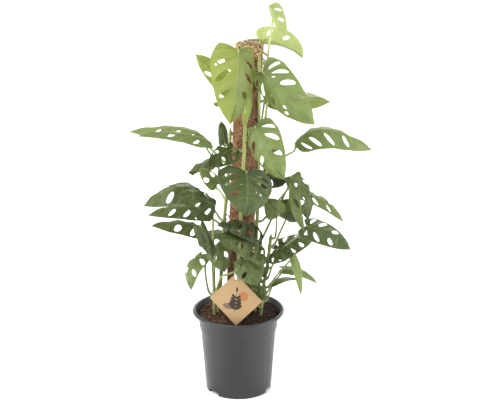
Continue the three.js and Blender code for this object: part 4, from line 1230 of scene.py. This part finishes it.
# Nursery pot
pot = {
    "steps": 144, "bevel": 0.7, "bevelFrom": 24,
    # radius, height: from the middle of the underside, round the lip and down to the floor inside
    "profile": [
        (0, 0), (18, 0), (19, 7), (50, 7), (51, 0), (60.4, 0), (69.95, 119.1), (71.65, 120.9), (75.6, 150),
        (83.5, 151.5), (85, 153.5), (84.7, 156.4), (83, 158), (79.7, 157.2), (74.1, 149), (70.2, 122.6),
        (68.5, 118.6), (59.6, 9), (0, 9),
    ],
    "notches": [219, 340, 100], "notchHeight": 6.5, "notchWidth": 27, "notchDepth": 20, "notchReach": 57.4,
    "drains": [40, 160, 280], "drainRadius": 5, "drainRing": 36, "drainDepth": 14,
    "colour": (0.0088, 0.0093, 0.0101), "worn": (0.050, 0.050, 0.051), "dust": (0.022, 0.014, 0.010),
    "roughness": 0.36,
    # where the dust lies inside, from the axis out and from below up, and where lip and foot are rubbed.
    # These are in metres.
    "dustReach": (0.0785, 0.0805), "dustHeight": (0.1495, 0.1510), "dustShare": 0.8,
    "lipHeight": 0.157, "lipRub": 0.004, "footRub": 0.012,
}

# The oval mark where the plastic entered the mould, on the sloping wall at the front
gateMark = {
    "bearing": -91.5, "height": 43, "size": (3.4, 6.2, 1.9), "inWall": 0.5, "wallSlope": 4.6, "bevel": 0.3,
    "wallFoot": 60.4, "wallTop": 69.8, "wallHeight": 117,
}


def potMaterial():
    material = newMaterial("potPlastic")
    place = objectPlace()
    height = axisOf(place, "Z")
    cloud = noiseAt(place, 28, 4)
    grain = noiseAt(place, 2600, 2)
    # light scuffs run round the wall
    scuff = ramped(noiseAt(objectPlace((1, 1, 6)), 55, 6, 0.75), 0.60, 0.74)
    turning = put("TexWave", {"Vector": place, "Scale": 95.0, "Distortion": 0.5, "Detail": 1.0},
                  bands_direction="Z").outputs["Fac"]
    rim = fade(calc("ABSOLUTE", calc("SUBTRACT", height, pot["lipHeight"])), 0.0, pot["lipRub"])
    foot = fade(height, 0.0, pot["footRub"])
    worn = calc("MAXIMUM", times(scuff, 0.3), times(plus(rim, foot), times(cloud, 0.5)))
    colour = mixColour(worn, pot["colour"], pot["worn"])
    # soil dust clings to the wall inside, under the lip
    flat = put("VectorMath", {0: place, 1: (1, 1, 0)}, operation="MULTIPLY").outputs["Vector"]
    reach = put("VectorMath", {0: flat}, operation="LENGTH").outputs["Value"]
    inside = times(fade(reach, *pot["dustReach"]), calc("SUBTRACT", 1.0, fade(height, *pot["dustHeight"])))
    colour = mixColour(times(inside, pot["dustShare"]), colour, pot["dust"])
    roughness = timesPlus(cloud, 0.16, pot["roughness"] - 0.08)
    relief = plus(times(grain, 0.5), times(turning, 0.25))
    output(principled(colour, roughness, bump(relief, 0.00025, 0.6)))
    return material


def makePot(material):
    bm = bmesh.new()
    turned(bm, pot["profile"], pot["steps"])
    bevelSharp(bm, pot["bevelFrom"], pot["bevel"])
    cutters = bmesh.new()
    for angle in pot["notches"]:
        place = turnAbout("Z", angle) @ Matrix.Translation((pot["notchReach"], 0, 0))
        size = Matrix.Diagonal((pot["notchDepth"], pot["notchWidth"], 2 * pot["notchHeight"], 1))
        bmesh.ops.create_cube(cutters, size=1, matrix=place @ size)
    for angle in pot["drains"]:
        place = turnAbout("Z", angle) @ Matrix.Translation((pot["drainRing"], 0, 5))
        bmesh.ops.create_cone(cutters, cap_ends=True, segments=32, radius1=pot["drainRadius"],
                              radius2=pot["drainRadius"], depth=pot["drainDepth"], matrix=place)
    bm = cutAway(bm, cutters)
    smoothShade(bm, 32)
    addPiece(bm, "nurseryPot", [material], "pot", "pot")


def makeGateMark(material):
    bm = bmesh.new()
    up = gateMark["height"] / gateMark["wallHeight"]
    radius = gateMark["wallFoot"] + (gateMark["wallTop"] - gateMark["wallFoot"]) * up
    out = Matrix.Translation((radius - gateMark["inWall"], 0, gateMark["height"]))
    face = turnAbout("Z", gateMark["bearing"]) @ out
    lie = turnAbout("Y", 90 - gateMark["wallSlope"])
    bmesh.ops.create_cone(bm, cap_ends=True, segments=40, radius1=1, radius2=0.9, depth=1,
                          matrix=face @ lie @ Matrix.Diagonal((*gateMark["size"], 1)))
    bevelSharp(bm, 50, gateMark["bevel"], 2)
    smoothShade(bm)
    addPiece(bm, "mouldMark", [material], "pot")


# Card tag with a plain printed motif, and its plastic loop
card = {
    "side": 70, "thickness": 1.0, "centre": (-4, -62, 200.5), "yaw": 15, "lean": 5, "corner": 2.2,
    "slotWidth": 7, "slotHeight": 3, "slotPlace": 38, "bevel": 0.15,
    "paper": (0.40, 0.275, 0.145), "paperDark": (0.33, 0.215, 0.105), "fibre": (0.20, 0.12, 0.06),
    "black": (0.012, 0.011, 0.010), "taupe": (0.15, 0.10, 0.065), "orange": (0.35, 0.135, 0.048),
    "inkHeight": 0.07, "inkSteps": 40,
    # the motif in the card's own plane: across, up. A disc has its ink, centre and radius, and may be a half.
    "discs": [("orange", (14, 7), 9, False), ("taupe", (-13, -6), 13, True)], "halfBearing": -20,
    "sprigFoot": (-3, -27), "sprigTop": (2, 15), "stalk": 0.55, "bud": (4, 4.5, 2),
    "leaflets": 4, "leafletLength": 15, "leafletWidth": 7, "leafletFall": 0.1, "leafletGap": 0.6,
    "leafletFrom": 0.2, "leafletStep": 0.16, "leafletAngle": 48,
}

strap = {
    "place": (-4, -58.7), "inside": 3.5, "thickness": 0.9, "width": 4.5, "seat": 257.6, "underSlot": 0.9,
    "turnSteps": 16, "colour": (0.80, 0.79, 0.75), "cloud": (0.62, 0.60, 0.55),
}


def cardPlace():
    return Matrix.Translation(card["centre"]) @ turnAbout("X", -card["lean"]) @ turnAbout("Z", -card["yaw"])


# A way of the card's own plane in space
def cardWay(x, y, z):
    return cardPlace().to_3x3() @ Vector((x, y, z))


def cardMaterial():
    material = newMaterial("kraftCard")
    cloud = noiseAt(objectPlace(), 40, 3)
    grain = noiseAt(objectPlace((1, 1, 0.3)), 1300, 4, 0.7)
    colour = mixColour(cloud, card["paper"], card["paperDark"])
    colour = mixColour(times(ramped(grain, 0.60, 0.75), 0.55), colour, card["fibre"])
    output(principled(colour, 0.82, bump(grain, 0.0002, 0.5), 0.3))
    return material


def inkMaterial(name):
    material = newMaterial("ink_" + name)
    grain = noiseAt(objectPlace(), 1600, 3, 0.7)
    colour = mixColour(times(grain, 0.12), card[name], card["paper"])
    output(principled(colour, 0.7, bump(grain, 0.0001, 0.3), 0.3))
    return material


def makeCard(material):
    bm = bmesh.new()
    side, thickness = card["side"], card["thickness"]
    bmesh.ops.create_cube(bm, size=1, matrix=Matrix.Diagonal((side, thickness, side, 1)))
    corners = []
    for edge in bm.edges:
        one, two = (corner.co for corner in edge.verts)
        if abs(one.x - two.x) + abs(one.z - two.z) < 0.01:
            corners.append(edge)
    bmesh.ops.bevel(bm, geom=corners, offset=card["corner"], segments=6, profile=0.5, affect="EDGES",
                    material=-1)
    bmesh.ops.rotate(bm, verts=bm.verts, cent=(0, 0, 0), matrix=turnAbout("Y", 45, 3))
    slot = bmesh.new()
    bmesh.ops.create_cube(slot, size=1, matrix=Matrix.Translation((0, 0, card["slotPlace"]))
                          @ Matrix.Diagonal((card["slotWidth"], 6 * thickness, card["slotHeight"], 1)))
    bm = cutAway(bm, slot)
    bevelSharp(bm, 60, card["bevel"], 2)
    bmesh.ops.transform(bm, matrix=cardPlace(), verts=bm.verts)
    smoothShade(bm)
    addPiece(bm, "kraftCard", [material], "card", "tag_card")


# One flat printed shape: an oval from foot to tip, or a disc, cut along its middle for a half
def inkOval(bm, centre, halfLength, halfWidth, bearing, layer, half=False):
    lie = Matrix.Translation((centre[0], -card["thickness"] / 2 - card["inkHeight"] * layer, centre[1]))
    turn = turnAbout("Y", bearing) @ turnAbout("X", 90)
    drawn = bmesh.new()
    bmesh.ops.create_circle(drawn, cap_ends=True, segments=card["inkSteps"], radius=1)
    if half:
        bmesh.ops.bisect_plane(drawn, geom=drawn.verts[:] + drawn.edges[:] + drawn.faces[:],
                               plane_co=(0, 0, 0), plane_no=(0, 1, 0), clear_outer=True)
    size = Matrix.Diagonal((halfLength, halfWidth, 1, 1))
    bmesh.ops.transform(drawn, matrix=cardPlace() @ lie @ turn @ size, verts=drawn.verts)
    for face in drawn.faces:
        face.normal_update()
        if face.normal.dot(cardWay(0, -1, 0)) < 0:
            face.normal_flip()
    mesh = meshOf(drawn, "drawn")
    bm.from_mesh(mesh)
    bpy.data.meshes.remove(mesh)


def inkPiece(bm, name, material):
    grown = bmesh.ops.extrude_face_region(bm, geom=bm.faces[:])["geom"]
    lower = [part for part in bm.verts if part not in grown]
    bmesh.ops.translate(bm, verts=lower, vec=cardWay(0, 1, 0) * (card["inkHeight"] * 0.9))
    addPiece(bm, name, [material], "card")


def makeCardPrint():
    for i, (ink, centre, radius, half) in enumerate(card["discs"]):
        bm = bmesh.new()
        inkOval(bm, centre, radius, radius, card["halfBearing"] if half else 0, 1, half)
        inkPiece(bm, "cardDisc_%d" % (i + 1), inkMaterial(ink))
    bm = bmesh.new()
    foot, top = Vector(card["sprigFoot"]), Vector(card["sprigTop"])
    way = (top - foot).normalized()
    bearing = math.degrees(math.atan2(-way.y, way.x))
    inkOval(bm, (foot + top) / 2, (top - foot).length / 2, card["stalk"], bearing, 2)
    for i in range(card["leaflets"]):
        size = 1 - card["leafletFall"] * i
        length, width = card["leafletLength"] / 2 * size, card["leafletWidth"] / 2 * size
        joint = foot.lerp(top, card["leafletFrom"] + card["leafletStep"] * i)
        for side in (-1, 1):
            angle = math.radians(-bearing + side * card["leafletAngle"])
            centre = joint + Vector((math.cos(angle), math.sin(angle))) * (length + card["leafletGap"])
            inkOval(bm, centre, length, width, -math.degrees(angle), 2)
    reach, length, width = card["bud"]
    inkOval(bm, top + way * reach, length, width, bearing, 2)
    inkPiece(bm, "cardSprig", inkMaterial("black"))


def strapMaterial():
    material = newMaterial("loopPlastic")
    cloud = noiseAt(objectPlace(), 120, 2)
    colour = mixColour(times(cloud, 0.5), strap["colour"], strap["cloud"])
    output(principled(colour, 0.4, bump(cloud, 0.0003, 0.3)))
    return material


# A closed strip: a half round over the seat and one through the card's slot
def makeStrap(material):
    thickness = strap["thickness"]
    slotHeight = (cardPlace() @ Vector((0, 0, card["slotPlace"]))).z
    low = slotHeight + card["slotHeight"] / 2 - strap["underSlot"] - thickness / 2
    high = strap["seat"] + thickness / 2
    reach = strap["inside"] + thickness / 2
    curve = bpy.data.curves.new("strapLoop", "CURVE")
    curve.dimensions = "2D"
    curve.fill_mode = "NONE"
    curve.extrude = (strap["width"] - thickness) / 2 * metre
    curve.bevel_depth = thickness / 2 * metre
    curve.bevel_resolution = 3
    loop = curve.splines.new("POLY")
    angles = [math.pi * i / strap["turnSteps"] for i in range(strap["turnSteps"] + 1)]
    spots = [(math.cos(angle) * reach, high - reach + math.sin(angle) * reach) for angle in angles]
    spots += [(-x, low + high - z) for x, z in spots]
    loop.points.add(len(spots) - 1)
    for (across, height), spot in zip(spots, loop.points):
        spot.co = (across * metre, height * metre, 0, 1)
    loop.use_cyclic_u = True
    mesh = meshOfCurve(curve)
    bm = bmesh.new()
    bm.from_mesh(mesh)
    bpy.data.meshes.remove(mesh)
    bmesh.ops.scale(bm, vec=(1 / metre, 1 / metre, 1 / metre), verts=bm.verts)
    # the curve's flat plane becomes an upright one
    upright = Matrix(((0, 0, 1, strap["place"][0]), (1, 0, 0, strap["place"][1]), (0, 1, 0, 0), (0, 0, 0, 1)))
    bmesh.ops.transform(bm, matrix=upright, verts=bm.verts)
    bmesh.ops.remove_doubles(bm, verts=bm.verts, dist=0.001)
    bmesh.ops.recalc_face_normals(bm, faces=bm.faces)
    smoothShade(bm, 50)
    addPiece(bm, "hangingLoop", [material], "strap", "tag_strap")


def makeFloor():
    bm = bmesh.new()
    cells = studio["floorCells"]
    bmesh.ops.create_grid(bm, x_segments=cells, y_segments=cells, size=studio["floorHalf"] * metre)
    floor = link("floor", meshOf(bm, "floor"))
    material = newMaterial("paleFloor")
    share = times(noiseAt(objectPlace(), 2, 2), studio["cloudShare"])
    colour = mixColour(share, studio["floorColour"], studio["floorCloud"])
    output(principled(colour, studio["floorRoughness"]))
    floor.data.materials.append(material)


makeCamera()
makeLamps()
makeFloor()
print("camera, lamps and floor ready")

greens = {"stem": stemMaterial()}
for tone, look in leafLooks.items():
    greens[tone] = leafMaterial("leaf_" + tone, look, False)
    greens[tone + "Under"] = leafMaterial("leafUnder_" + tone, look, True)

stemPaths = makeStemPaths()
for name in stemPaths:
    makeStem(name, greens["stem"])
print("stems ready")

for leaf in leaves:
    makeLeaf(leaf, greens)
print("%d leaves ready" % len(leaves))

makeCore(coreMaterial())
coirFibre = fibreMaterial()
coirChance = random.Random(11)
for makeStrands in (makeFibres, makeFrizz, makeTuft):
    makeStrands(coirFibre, coirChance)
makeRoots(rootMaterial())
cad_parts["pole_core"].data.materials.clear()
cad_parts["pole_core"].data.materials.append(woodMaterial())
print("pole ready")

soilLook = soilMaterial()
makeSoil(soilLook)
makeCrumbs(soilLook)
potLook = potMaterial()
makePot(potLook)
makeGateMark(potLook)
print("pot and soil ready")

makeCard(cardMaterial())
makeCardPrint()
makeStrap(strapMaterial())
print("card ready")
